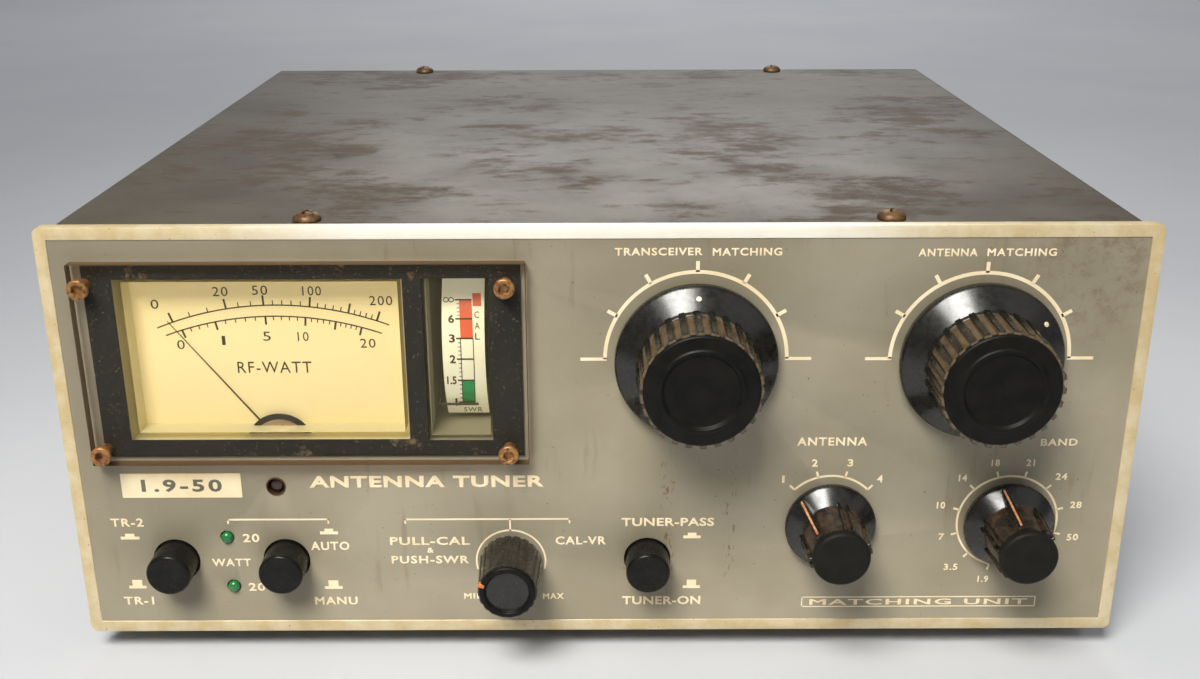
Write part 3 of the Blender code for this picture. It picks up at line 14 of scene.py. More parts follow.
import bmesh
import bpy
from mathutils import Matrix, Vector

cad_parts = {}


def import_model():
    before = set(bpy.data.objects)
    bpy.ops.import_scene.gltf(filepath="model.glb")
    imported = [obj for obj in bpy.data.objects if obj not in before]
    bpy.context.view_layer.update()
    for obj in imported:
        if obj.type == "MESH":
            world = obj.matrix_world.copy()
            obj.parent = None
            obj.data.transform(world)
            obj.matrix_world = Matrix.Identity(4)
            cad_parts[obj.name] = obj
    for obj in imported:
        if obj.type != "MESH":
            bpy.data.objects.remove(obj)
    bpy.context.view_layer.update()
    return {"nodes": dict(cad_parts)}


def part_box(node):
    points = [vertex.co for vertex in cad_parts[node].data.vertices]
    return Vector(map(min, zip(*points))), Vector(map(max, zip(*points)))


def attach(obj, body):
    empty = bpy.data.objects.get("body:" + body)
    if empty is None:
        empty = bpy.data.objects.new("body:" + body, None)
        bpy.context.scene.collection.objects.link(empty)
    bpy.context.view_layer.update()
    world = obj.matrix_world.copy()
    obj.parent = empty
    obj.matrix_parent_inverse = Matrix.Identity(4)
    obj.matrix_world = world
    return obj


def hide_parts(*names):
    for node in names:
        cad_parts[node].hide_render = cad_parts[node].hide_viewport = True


log = logging.getLogger("antenna_tuner")

MM = 0.001
WELD = 0.000002
PRINT_THICK = 0.05
SMOOTH_ANGLE = 30.0
KEY_BASE = 0.75

Rgb = tuple[int, int, int]
Profile = list[tuple[float, float]]
Thing = bpy.types.Object
Socket = bpy.types.NodeSocket
Look = bpy.types.Material
Looks = dict[str, bpy.types.Material]


class Facing(Enum):
    """Which way the top of a turned or flat piece looks."""

    FRONT = (math.pi / 2, 0.0, 0.0)
    REAR = (-math.pi / 2, 0.0, 0.0)
    UP = (0.0, 0.0, 0.0)
    DOWN = (math.pi, 0.0, 0.0)


class Mode(Enum):
    """What is picked in edit mode."""

    VERT = "VERT"
    EDGE = "EDGE"
    FACE = "FACE"


@dataclass(frozen=True)
class Datum:
    """The middle of the front panel's face, in the frame's metres.

    Attributes:
        face_y: Y of the panel's face.
        middle_z: Z of the panel's middle.
    """

    face_y: float
    middle_z: float

    def at(self, x: float, depth: float, z: float) -> Vector:
        """Gives a place in the frame.

        Args:
            x: Millimetres to the right of the panel's middle.
            depth: Millimetres behind the panel's face.
            z: Millimetres above the panel's middle.

        Returns:
            The place in metres.
        """
        return Vector((x * MM, self.face_y + depth * MM, self.middle_z + z * MM))

    def centre(self, node: str) -> tuple[float, float]:
        """Gives the x and z of a CAD node's middle, in millimetres from the panel's middle."""
        low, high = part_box(node)
        middle = (low + high) / 2
        return middle.x / MM, (middle.z - self.middle_z) / MM

    def depths(self, node: str) -> tuple[float, float]:
        """Gives where a CAD node starts and ends behind the panel's face, in millimetres."""
        low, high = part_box(node)
        return (low.y - self.face_y) / MM, (high.y - self.face_y) / MM


# Modelling ---------------------------------------------------------------------------------------


def drop_selection() -> None:
    """Deselects everything."""
    bpy.ops.object.select_all(action="DESELECT")


def activate(*things: Thing) -> None:
    """Selects some objects and makes the first one active."""
    drop_selection()
    for thing in things:
        thing.select_set(True)
    bpy.context.view_layer.objects.active = things[0]


def named(name: str) -> Thing:
    """Names the object that was just added, with its mesh, and returns it."""
    thing = bpy.context.object
    thing.name = name
    thing.data.name = name
    return thing


@contextmanager
def editing(thing: Thing, mode: Mode = Mode.FACE) -> Iterator[None]:
    """Opens an object in edit mode, and closes it afterwards.

    Args:
        thing: The mesh object.
        mode: What is picked in it.
    """
    activate(thing)
    bpy.ops.object.mode_set(mode="EDIT")
    bpy.ops.mesh.select_mode(type=mode.value)
    yield
    bpy.ops.object.mode_set(mode="OBJECT")


def mm(x: float, y: float, z: float) -> Vector:
    """Gives a place in metres from millimetres."""
    return Vector((x, y, z)) * MM


def runs_back(edge: bmesh.types.BMEdge) -> bool:
    """Says if an edge runs from front to rear."""
    return abs(edge.verts[0].co.y - edge.verts[1].co.y) > MM


def pick(thing: Thing, mode: Mode, test: Callable) -> None:
    """Picks parts of a mesh that is open in edit mode.

    Args:
        thing: The mesh object.
        mode: What is tested.
        test: Takes a vertex, edge or face and says if it is picked.
    """
    shape = bmesh.from_edit_mesh(thing.data)
    parts = {Mode.VERT: shape.verts, Mode.EDGE: shape.edges, Mode.FACE: shape.faces}[mode]
    for part in list(shape.verts) + list(shape.edges) + list(shape.faces):
        part.select_set(False)
    for part in parts:
        if test(part):
            part.select_set(True)
    bmesh.update_edit_mesh(thing.data)


def settle(thing: Thing) -> Thing:
    """Moves an object's place, turn and scale into its mesh."""
    activate(thing)
    bpy.ops.object.transform_apply(location=True, rotation=True, scale=True)
    return thing


def stand(
    thing: Thing, place: Vector, facing: Facing, clockwise: float = 0.0
) -> Thing:
    """Turns a piece made about the Z axis to face one way, and puts it in its place.

    Args:
        thing: The piece, with its top along +Z.
        place: Where its origin goes, in metres.
        facing: Which way its top looks.
        clockwise: Degrees it is turned clockwise, as seen by whom it faces.

    Returns:
        The piece, with its place in its mesh.
    """
    spin = Matrix.Rotation(-math.radians(clockwise), 4, "Z")
    turn = Matrix.Rotation(facing.value[0], 4, "X")
    thing.matrix_world = Matrix.Translation(place) @ turn @ spin
    return settle(thing)


def add_block(
    name: str, low: Vector, high: Vector, edge: float = 0.0, segments: int = 2
) -> Thing:
    """Adds a block between two corners, with its edges rounded.

    Args:
        name: The object's name.
        low: Its lowest corner, in metres.
        high: Its highest corner, in metres.
        edge: Width of its rounded edges in millimetres.
        segments: Faces across each rounded edge.

    Returns:
        The block.
    """
    drop_selection()
    bpy.ops.mesh.primitive_cube_add(size=1.0, location=(low + high) / 2)
    block = named(name)
    block.scale = high - low
    settle(block)
    if edge > 0.0:
        with editing(block, Mode.EDGE):
            bpy.ops.mesh.select_all(action="SELECT")
            bpy.ops.mesh.bevel(offset=edge * MM, segments=segments)
    return block


def rounded(profile: Profile, radius: float, steps: int = 3) -> Profile:
    """Rounds the inner corners of a profile.

    Args:
        profile: (radius, height) points in millimetres.
        radius: The rounding's reach along each side.
        steps: Points on each rounded corner, less one.

    Returns:
        The profile with its corners rounded.
    """
    points = [Vector(point) for point in profile]
    out = [profile[0]]
    for before, corner, after in zip(points, points[1:], points[2:]):
        towards, onwards = before - corner, after - corner
        reach = min(radius, towards.length * 0.45, onwards.length * 0.45)
        start = corner + towards.normalized() * reach
        end = corner + onwards.normalized() * reach
        for step in range(steps + 1):
            share = step / steps
            one = start.lerp(corner, share)
            two = corner.lerp(end, share)
            out.append(tuple(one.lerp(two, share)))
    out.append(profile[-1])
    return out


def seed_point(name: str, first: tuple[float, float, float]) -> Thing:
    """Adds a plane, merges it to one vertex and moves that to a place in metres."""
    drop_selection()
    bpy.ops.mesh.primitive_plane_add(size=MM, location=(0.0, 0.0, 0.0))
    thing = named(name)
    with editing(thing, Mode.VERT):
        bpy.ops.mesh.select_all(action="SELECT")
        bpy.ops.mesh.merge(type="CENTER")
        bpy.ops.transform.translate(value=first)
    return thing


def dome(radius: float, rise: float) -> Profile:
    """Gives the outline of a dome, from its top to its rim."""
    turns = [math.pi / 2 * step / 8 for step in range(9)]
    return [(radius * math.sin(turn), rise * math.cos(turn)) for turn in turns]


def turn_profile(name: str, profile: Profile, sides: int, rounding: float = 0.0) -> Thing:
    """Turns a profile about the Z axis.

    Args:
        name: The object's name.
        profile: (radius, height) points in millimetres, from the axis at the top to the axis below.
        sides: Steps round the axis.
        rounding: How far the corners' rounding reaches; 0 leaves them sharp.

    Returns:
        A closed turned piece about the world's Z axis.
    """
    if rounding > 0.0:
        profile = rounded(profile, rounding)
    points = [(radius * MM, height * MM) for radius, height in profile]
    thing = seed_point(name, (points[0][0], 0.0, points[0][1]))
    with editing(thing, Mode.VERT):
        bpy.ops.mesh.select_all(action="SELECT")
        for before, after in zip(points, points[1:]):
            step = (after[0] - before[0], 0.0, after[1] - before[1])
            bpy.ops.mesh.extrude_vertices_move(TRANSFORM_OT_translate={"value": step})
        bpy.ops.mesh.select_all(action="SELECT")
        bpy.ops.mesh.spin(
            steps=sides, angle=2 * math.pi, center=(0.0, 0.0, 0.0), axis=(0.0, 0.0, 1.0)
        )
        bpy.ops.mesh.select_all(action="SELECT")
        bpy.ops.mesh.remove_doubles(threshold=WELD)
        bpy.ops.mesh.select_all(action="SELECT")
        bpy.ops.mesh.normals_make_consistent(inside=False)
    return thing


def add_rod(name: str, radius: float, length: float, sides: int = 32) -> Thing:
    """Adds a plain rod up from the origin along Z, such as a cutter. Lengths are millimetres."""
    drop_selection()
    bpy.ops.mesh.primitive_cylinder_add(
        vertices=sides, radius=radius * MM, depth=length * MM, location=(0, 0, length * MM / 2)
    )
    return settle(named(name))


def combine(
    thing: Thing, others: list[Thing], operation: str = "DIFFERENCE"
) -> Thing:
    """Cuts other objects out of a piece, or joins them to it, and removes them.

    Args:
        thing: The piece.
        others: The objects that are used up.
        operation: The Boolean modifier's operation.

    Returns:
        The piece.
    """
    activate(others[0], *others[1:])
    if len(others) > 1:
        bpy.ops.object.join()
    cutter = bpy.context.object
    modifier = thing.modifiers.new("Cut", "BOOLEAN")
    modifier.object = cutter
    modifier.operation = operation
    modifier.solver = "EXACT"
    modifier.use_self = True
    activate(thing)
    bpy.ops.object.modifier_apply(modifier=modifier.name)
    bpy.data.objects.remove(cutter, do_unlink=True)
    return thing


def cut_slots(
    thing: Thing, low: tuple[float, float, float], high: tuple[float, float, float],
    turns: tuple[float, ...] = (0.0,),
) -> Thing:
    """Cuts slots across a piece that stands on the Z axis.

    Args:
        thing: The piece.
        low: The slot's lowest corner in millimetres.
        high: Its highest corner.
        turns: Degrees that each slot is turned clockwise.

    Returns:
        The piece.
    """
    slots = []
    for turn in turns:
        slots.append(stand(add_block("slot_cutter", mm(*low), mm(*high)), Vector(), Facing.UP, turn))
    return combine(thing, slots)


def strut(name: str, start: Vector, end: Vector, wide: float, deep: float) -> Thing:
    """Adds a straight bar from one place to another, with its width and depth in millimetres."""
    run = end - start
    drop_selection()
    bpy.ops.mesh.primitive_cube_add(size=1.0, location=(0, 0, 0))
    bar = named(name)
    turn = run.to_track_quat("Z", "X").to_matrix().to_4x4()
    size = Matrix.Diagonal((wide * MM, deep * MM, run.length, 1.0))
    bar.matrix_world = Matrix.Translation((start + end) / 2) @ turn @ size
    return settle(bar)


def bevel_edges(
    thing: Thing, width: float, segments: int = 2, angle: float = 40.0
) -> Thing:
    """Rounds a piece's sharp edges.

    Args:
        thing: The piece.
        width: Width of the rounding in millimetres.
        segments: Faces across it.
        angle: Edges sharper than this are rounded, in degrees.

    Returns:
        The piece.
    """
    modifier = thing.modifiers.new("Edges", "BEVEL")
    modifier.width = width * MM
    modifier.segments = segments
    modifier.limit_method = "ANGLE"
    modifier.angle_limit = math.radians(angle)
    activate(thing)
    bpy.ops.object.modifier_apply(modifier=modifier.name)
    return thing


def thicken(thing: Thing, thickness: float, offset: float = -1.0) -> Thing:
    """Gives a flat piece a thickness in millimetres, against its normals or with them at offset 1."""
    modifier = thing.modifiers.new("Thickness", "SOLIDIFY")
    modifier.thickness = thickness * MM
    modifier.offset = offset
    activate(thing)
    bpy.ops.object.modifier_apply(modifier=modifier.name)
    return thing


def gather(name: str, things: list[Thing]) -> Thing:
    """Joins pieces into one object."""
    activate(*things)
    if len(things) > 1:
        bpy.ops.object.join()
    return named(name)


def soften(thing: Thing, angle: float = 35.0) -> Thing:
    """Shades a piece smooth, up to an angle in degrees."""
    activate(thing)
    bpy.ops.object.shade_smooth_by_angle(angle=math.radians(angle))
    return thing


def dress(thing: Thing, *materials: Look) -> Thing:
    """Gives a piece its materials, in the order of its faces' slots."""
    thing.data.materials.clear()
    for material in materials:
        thing.data.materials.append(material)
    return thing


def paint_faces(thing: Thing, index: int, test: Callable = lambda face: True) -> None:
    """Sets the material slot of the faces that pass a test."""
    for face in thing.data.polygons:
        if test(face):
            face.material_index = index


def assemble(name: str, parts: list[tuple[Thing, int]], looks: list[Look], angle: float = 0.0) -> Thing:
    """Dresses parts, each in one of several finishes, and joins them.

    Args:
        name: The joined piece's name.
        parts: Each part with its finish's place in the list.
        looks: The finishes.
        angle: Edges up to this angle are shaded smooth; 0 leaves them.

    Returns:
        The joined piece.
    """
    for part, index in parts:
        paint_faces(dress(part, *looks), index)
        if angle > 0.0:
            soften(part, angle)
    return gather(name, [part for part, _ in parts])


def install(thing: Thing, body: str, slot: str, *nodes: str) -> Thing:
    """Puts a finished piece on its body and hides the CAD nodes that it stands for.

    Args:
        thing: The piece.
        body: The body that carries it.
        slot: The material slot it takes its finish from; it is not used.
        nodes: CAD nodes that it replaces.

    Returns:
        The piece.
    """
    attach(thing, body)
    if nodes:
        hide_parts(*nodes)
    log.info("%s on %s", thing.name, body)
    return thing


# Printing ----------------------------------------------------------------------------------------


def round_at(x: float, z: float, radius: float, turn: float) -> tuple[float, float]:
    """Gives the place on a circle at degrees clockwise from its top."""
    angle = math.radians(turn)
    return x + math.sin(angle) * radius, z + math.cos(angle) * radius


@dataclass
class PrintSheet:
    """Lettering and lines on one flat face, laid out in millimetres from the panel's middle.

    Attributes:
        name: The finished object's name.
        thick: How thick the print is.
    """

    name: str
    thick: float = PRINT_THICK
    letters: list[Thing] = field(default_factory=list)
    lines: list[Thing] = field(default_factory=list)

    def word(
        self, text: str, left: float, right: float, low: float, high: float, bold: float = 0.0,
        spacing: float = 1.15,
    ) -> None:
        """Sets a word so that it fills a box.

        Args:
            text: What is printed.
            left: The box's left side.
            right: Its right side.
            low: Its lower side.
            high: Its upper side.
            bold: How much the strokes are thickened, as a share of the type's size.
            spacing: Space between letters.
        """
        drop_selection()
        bpy.ops.object.text_add(location=(0.0, 0.0, 0.0))
        item = bpy.context.object
        item.data.body = text
        item.data.bevel_depth = bold
        item.data.bevel_resolution = 0
        item.data.extrude = 0.1
        item.data.resolution_u = 3
        item.data.space_character = spacing
        bpy.ops.object.convert(target="MESH")
        item = bpy.context.object
        places = [vertex.co for vertex in item.data.vertices]
        small = Vector([min(place[axis] for place in places) for axis in range(3)])
        large = Vector([max(place[axis] for place in places) for axis in range(3)])
        across = (right - left) * MM / (large.x - small.x)
        up = (high - low) * MM / (large.y - small.y)
        through = self.thick * MM / (large.z - small.z)
        item.scale = (across, up, through)
        item.location = (left * MM - small.x * across, low * MM - small.y * up, -small.z * through)
        settle(item)
        self.letters.append(item)

    def label(
        self, text: str, x: float, z: float, height: float, wide: float = 0.66, bold: float = 0.0
    ) -> None:
        """Sets a short word about its middle, its width taken from its number of letters."""
        narrow = sum(0.45 if letter in "1.:" else 1.0 for letter in text)
        half = height * wide * narrow / 2
        self.word(text, x - half, x + half, z - height / 2, z + height / 2, bold)

    def bar(self, x: float, z: float, end_x: float, end_z: float, width: float) -> None:
        """Draws a straight line between two places."""
        start = Vector((x, z, 0.0)) * MM
        end = Vector((end_x, end_z, 0.0)) * MM
        run = end - start
        drop_selection()
        bpy.ops.mesh.primitive_plane_add(size=1.0, location=(start + end) / 2)
        line = named(self.name + "_line")
        turn = Matrix.Rotation(math.atan2(run.y, run.x), 4, "Z")
        size = Matrix.Diagonal((run.length, width * MM, 1.0, 1.0))
        line.matrix_world = Matrix.Translation((start + end) / 2) @ turn @ size
        settle(line)
        self.lines.append(line)

    def patch(self, left: float, right: float, low: float, high: float) -> None:
        """Fills a rectangle."""
        middle = (low + high) / 2
        self.bar(left, middle, right, middle, high - low)

    def frame(self, left: float, right: float, low: float, high: float, width: float) -> None:
        """Draws a rectangle's outline."""
        half = width / 2
        self.bar(left, low + half, right, low + half, width)
        self.bar(left, high - half, right, high - half, width)
        self.bar(left + half, low, left + half, high, width)
        self.bar(right - half, low, right - half, high, width)

    def arc(
        self, x: float, z: float, radius: float, start: float, end: float, width: float,
        steps: int = 48,
    ) -> None:
        """Draws an arc.

        Args:
            x: Its centre across.
            z: Its centre up.
            radius: Its radius.
            start: Where it starts, in degrees clockwise from the top.
            end: Where it ends.
            width: The line's width.
            steps: Straight pieces along it.
        """
        turn = math.radians(start)
        way = Vector((math.sin(turn), math.cos(turn), 0.0)) * MM
        centre = Vector((x, z, 0.0)) * MM
        first = centre + way * (radius - width / 2)
        line = seed_point(self.name + "_line", tuple(first))
        with editing(line, Mode.VERT):
            bpy.ops.mesh.select_all(action="SELECT")
            bpy.ops.mesh.extrude_vertices_move(TRANSFORM_OT_translate={"value": way * width})
            bpy.ops.mesh.select_all(action="SELECT")
            bpy.ops.mesh.spin(
                steps=steps, angle=math.radians(end - start), center=centre, axis=(0.0, 0.0, 1.0)
            )
            bpy.ops.mesh.select_all(action="SELECT")
            bpy.ops.mesh.normals_make_consistent(inside=False)
        if line.data.polygons[0].normal.z < 0.0:
            line.data.flip_normals()
        self.lines.append(line)

    def tick(self, x: float, z: float, inner: float, outer: float, turn: float, width: float) -> None:
        """Draws a short line outwards from a centre, at degrees clockwise from the top."""
        self.bar(*round_at(x, z, inner, turn), *round_at(x, z, outer, turn), width)

    def key_mark(self, left: float, right: float, low: float, rise: float, inset: float) -> None:
        """Draws a push button's sign: a flat base with a block on it."""
        top = low + KEY_BASE
        self.patch(left, right, low, top)
        self.patch(left + inset, right - inset, top, top + rise)

    def make(self) -> Thing:
        """Joins all that was set and drawn into one object that lies about the origin."""
        if self.lines:
            self.letters.append(thicken(gather(self.name, self.lines), self.thick, 1.0))
        return gather(self.name, list(reversed(self.letters)))


# Finishes ----------------------------------------------------------------------------------------


def linear(colour: Rgb) -> tuple[float, float, float, float]:
    """Turns a colour of 0 to 255 per channel into linear light, with full alpha."""
    out = []
    for value in colour:
        share = value / 255
        out.append(share / 12.92 if share <= 0.04045 else ((share + 0.055) / 1.055) ** 2.4)
    return (*out, 1.0)


class Value:
    """A number that a material works out at each point, as a socket with Python's operators."""

    def __init__(self, graph: "Graph", socket: Socket) -> None:
        """Wraps a socket of a graph's node."""
        self.graph = graph
        self.socket = socket

    def math(self, operation: str, *others: "Value | float", first: bool = True) -> "Value":
        """Adds a Math node.

        Args:
            operation: Its operation.
            others: Its other inputs.
            first: False if this value is the second input.

        Returns:
            What it gives.
        """
        values = [self, *others] if first else [others[0], self]
        node = self.graph.node("ShaderNodeMath", {"operation": operation}, dict(enumerate(values)))
        return Value(self.graph, node.outputs[0])

    def __add__(self, other: "Value | float") -> "Value":
        """Adds a value."""
        return self.math("ADD", other)

    def __radd__(self, other: float) -> "Value":
        """Adds to a number."""
        return self.math("ADD", other)

    def __sub__(self, other: "Value | float") -> "Value":
        """Takes a value away."""
        return self.math("SUBTRACT", other)

    def __rsub__(self, other: float) -> "Value":
        """Takes this away from a number."""
        return self.math("SUBTRACT", other, first=False)

    def __mul__(self, other: "Value | float") -> "Value":
        """Multiplies by a value."""
        return self.math("MULTIPLY", other)

    def __rmul__(self, other: float) -> "Value":
        """Multiplies a number."""
        return self.math("MULTIPLY", other)

    def ease(self, low: float, high: float) -> "Value":
        """Gives 0 below one value, 1 above another and a smooth rise between them."""
        node = self.graph.node(
            "ShaderNodeMapRange",
            {"interpolation_type": "SMOOTHSTEP"},
            {"Value": self, "From Min": low, "From Max": high},
        )
        return Value(self.graph, node.outputs["Result"])


class Graph:
    """A material's nodes, added one after another."""

    def __init__(self, name: str) -> None:
        """Makes an empty material."""
        self.material = bpy.data.materials.new(name)
        self.material.use_nodes = True
        self.tree = self.material.node_tree
        self.tree.nodes.clear()
        self.place = self.node("ShaderNodeTexCoord").outputs["Object"]

    def node(
        self, kind: str, settings: dict | None = None, inputs: dict | None = None
    ) -> bpy.types.Node:
        """Adds a node.

        Args:
            kind: Its type.
            settings: Its own settings, which are set first.
            inputs: Values, or links, of its sockets, by name or number.

        Returns:
            The node.
        """
        made = self.tree.nodes.new(kind)
        for key, value in (settings or {}).items():
            setattr(made, key, value)
        for key, value in (inputs or {}).items():
            self.feed(made.inputs[key], value)
        return made

    def feed(self, socket: Socket, value: object) -> None:
        """Links or sets one socket."""
        if isinstance(value, Value):
            value = value.socket
        if isinstance(value, Socket):
            self.tree.links.new(value, socket)
        else:
            socket.default_value = value

    def moved(self, operation: str, other: Vector) -> Socket:
        """Gives Object coordinates after a Vector Math operation with a constant."""
        node = self.node("ShaderNodeVectorMath", {"operation": operation}, {0: self.place, 1: other})
        return node.outputs["Vector"]

    def about(self, centre: tuple[float, float, float]) -> Socket:
        """Gives Object coordinates measured from a place."""
        return self.moved("SUBTRACT", Vector(centre))

    def stretched(self, x: float, y: float, z: float) -> Socket:
        """Gives Object coordinates scaled along each axis."""
        return self.moved("MULTIPLY", Vector((x, y, z)))

    def axes(self, vector: Socket) -> tuple[Value, Value, Value]:
        """Splits a vector into three values."""
        outputs = self.node("ShaderNodeSeparateXYZ", None, {0: vector}).outputs
        return Value(self, outputs[0]), Value(self, outputs[1]), Value(self, outputs[2])

    def noise(
        self, size: float, detail: float = 4.0, roughness: float = 0.55,
        vector: Socket | None = None,
    ) -> Value:
        """Adds cloudy noise.

        Args:
            size: How large its features are, in millimetres.
            detail: How many finer layers it has.
            roughness: How strong those are.
            vector: Coordinates, if not the object's own.

        Returns:
            A value about 0.5.
        """
        inputs = {
            "Vector": vector or self.place, "Scale": 1 / (size * MM), "Detail": detail,
            "Roughness": roughness,
        }
        return Value(self, self.node("ShaderNodeTexNoise", None, inputs).outputs["Fac"])

    def blend(self, share: Value | float, colour: object, other: object) -> Socket:
        """Mixes two colours by a value."""
        pair = [linear(item) if isinstance(item, tuple) else item for item in (colour, other)]
        node = self.node("ShaderNodeMix", {"data_type": "RGBA"}, {0: share, 6: pair[0], 7: pair[1]})
        return node.outputs[2]

    def relief(self, height: Value, depth: float) -> Socket:
        """Turns a value into a bumped normal, with its depth in millimetres."""
        node = self.node(
            "ShaderNodeBump", None, {"Strength": 1.0, "Distance": depth * MM, "Height": height}
        )
        return node.outputs["Normal"]

    def shader(self, inputs: dict) -> Socket:
        """Adds a Principled shader."""
        return self.node("ShaderNodeBsdfPrincipled", None, inputs).outputs[0]

    def done(self, shader: Socket) -> Look:
        """Sends a shader to the output and gives the material."""
        self.node("ShaderNodeOutputMaterial", None, {"Surface": shader})
        return self.material


@dataclass(frozen=True)
class Finish:
    """A worn solid finish: two tones, stains, specks and a fine grain.

    Attributes:
        name: The material's name.
        colour: Main colour.
        tone: The colour it drifts to.
        stain: Colour of its stains.
        stain_from: Noise above which stains start; 1 leaves them out.
        stain_size: Size of the stains in millimetres.
        speck_from: Noise above which specks start; 1 leaves them out.
        speck_size: Size of the specks.
        rough: Roughness.
        rough_drift: How far the roughness drifts.
        metallic: 1 for bare metal.
        grain: Size of the surface's grain.
        grain_depth: Depth of the grain.
        tone_size: Size of the drift between the two tones.
        coat: Clear coat's weight.
        shine: Strength of its reflection; 0.5 is a common plastic's.
        glow: Painted light: emission that brightens a part that is no lamp.
    """

    name: str
    colour: Rgb
    tone: Rgb
    stain: Rgb = (90, 65, 40)
    stain_from: float = 1.0
    stain_size: float = 12.0
    speck_from: float = 1.0
    speck_size: float = 0.8
    rough: float = 0.45
    rough_drift: float = 0.15
    metallic: float = 0.0
    grain: float = 0.35
    grain_depth: float = 0.01
    tone_size: float = 9.0
    coat: float = 0.0
    shine: float = 0.5
    glow: float = 0.0

    def tint(self, graph: Graph) -> tuple[Socket, Value]:
        """Works out the colour and how soiled each point is."""
        drift = graph.noise(self.tone_size, 5.0).ease(0.32, 0.68)
        colour = graph.blend(drift, self.colour, self.tone)
        soil = graph.noise(self.stain_size, 8.0, 0.68).ease(self.stain_from, self.stain_from + 0.09)
        specks = graph.noise(self.speck_size, 2.0).ease(self.speck_from, self.speck_from + 0.05)
        if self.stain_from < 1.0:
            colour = graph.blend(soil, colour, self.stain)
        if self.speck_from < 1.0:
            colour = graph.blend(specks, colour, self.stain)
        return colour, soil

    def make(self) -> Look:
        """Makes the material."""
        graph = Graph(self.name)
        colour, soil = self.tint(graph)
        smear = graph.noise(self.tone_size / 2, 6.0)
        rough = self.rough + (smear - 0.5) * (2 * self.rough_drift)
        if self.stain_from < 1.0:
            rough = rough + soil * 0.2
        grain = graph.noise(self.grain, 3.0)
        shader = graph.shader(
            {
                "Base Color": colour,
                "Roughness": rough,
                "Metallic": self.metallic,
                "Coat Weight": self.coat,
                "Coat Roughness": 0.12,
                "Specular IOR Level": self.shine,
                # Emission is painted light: it brightens parts that are no lamp, such as the meter dials and
                # scale bands.
                "Emission Color": colour,
                "Emission Strength": self.glow,
                "Normal": graph.relief(grain, self.grain_depth),
            }
        )
        return graph.done(shader)


@dataclass(frozen=True)
class PanelPaint(Finish):
    """Enamel with dirty vertical runs and rusty marks near its upper right corner."""

    corner: tuple[float, float, float] = (0.0, 0.0, 0.0)
    runs: float = 0.35
    streaks: tuple[tuple[float, float], ...] = ((-0.0942, 0.0022), (-0.109, 0.003))

    def tint(self, graph: Graph) -> tuple[Socket, Value]:
        """Adds the runs, the painted shade towards the left edge and the marks to the plain stains."""
        colour, soil = super().tint(graph)
        across, _, up = graph.axes(graph.about(self.corner))
        run = graph.noise(3.2, 6.0, 0.6, graph.stretched(1.0, 1.0, 0.13)).ease(0.56, 0.72)
        patch = graph.noise(26.0, 3.0).ease(0.47, 0.62)
        colour = graph.blend(run * patch * self.runs, colour, self.stain)
        away = across + 0.014
        near = (away * away + up * up * 0.5).ease(0.0004, 0.00002)
        mark = graph.noise(3.6, 10.0, 0.75).ease(0.44, 0.66) * near
        colour = graph.blend(mark * 0.5, colour, self.stain)
        fleck = graph.noise(0.8, 4.0, 0.6, graph.stretched(1.0, 1.0, 0.4)).ease(0.56, 0.68)
        for place, width in self.streaks:
            band = (across - place).math("ABSOLUTE").ease(width, width * 0.3)
            reach = up.ease(-0.046, -0.056) * up.ease(-0.088, -0.078)
            colour = graph.blend(fleck * band * reach * 0.75, colour, self.stain)
        # Painted shade: the left part of the panel is darkened towards the darker tone.
        left = across.ease(-0.195, -0.245) * 0.45
        colour = graph.blend(left, colour, self.tone)
        return colour, soil


@dataclass(frozen=True)
class WornBorder(Finish):
    """Bare border metal with a painted highlight along the middle of its upper side.

    Attributes:
        top: Height of the upper side that carries the painted highlight, in metres.
        bright: The painted highlight's colour.
    """

    top: float = 0.0
    bright: Rgb = (252, 250, 240)

    def tint(self, graph: Graph) -> tuple[Socket, Value]:
        """Lays the painted highlight over the plain border."""
        colour, soil = super().tint(graph)
        across, _, up = graph.axes(graph.place)
        # Painted highlight: a pale band along the middle of the border's upper side.
        middle = (across + 0.004).math("ABSOLUTE").ease(0.09, 0.045)
        upper = up.ease(self.top - 3.2 * MM, self.top - 2.6 * MM)
        return graph.blend(middle * upper * 0.75, colour, self.bright), soil


@dataclass(frozen=True)
class RustedSheet(Finish):
    """Dull sheet steel with brown rust that clusters in patches."""

    bloom: Rgb = (70, 55, 37)

    def tint(self, graph: Graph) -> tuple[Socket, Value]:
        """Lays two sizes of rust over the drift of the bare sheet."""
        colour, soil = super().tint(graph)
        broad = graph.noise(46.0, 4.0, 0.6).ease(0.42, 0.64)
        ragged = graph.noise(12.0, 14.0, 0.78, graph.stretched(0.8, 1.5, 1.0))
        patches = (ragged + broad * 0.16).ease(0.53, 0.72)
        colour = graph.blend(patches * 0.9, colour, self.bloom)
        fine = graph.noise(2.2, 9.0, 0.74).ease(0.53, 0.68) * (0.35 + broad * 0.65)
        colour = graph.blend(fine * 0.6, colour, self.stain)
        return colour, (soil + patches).math("MINIMUM", 1.0)


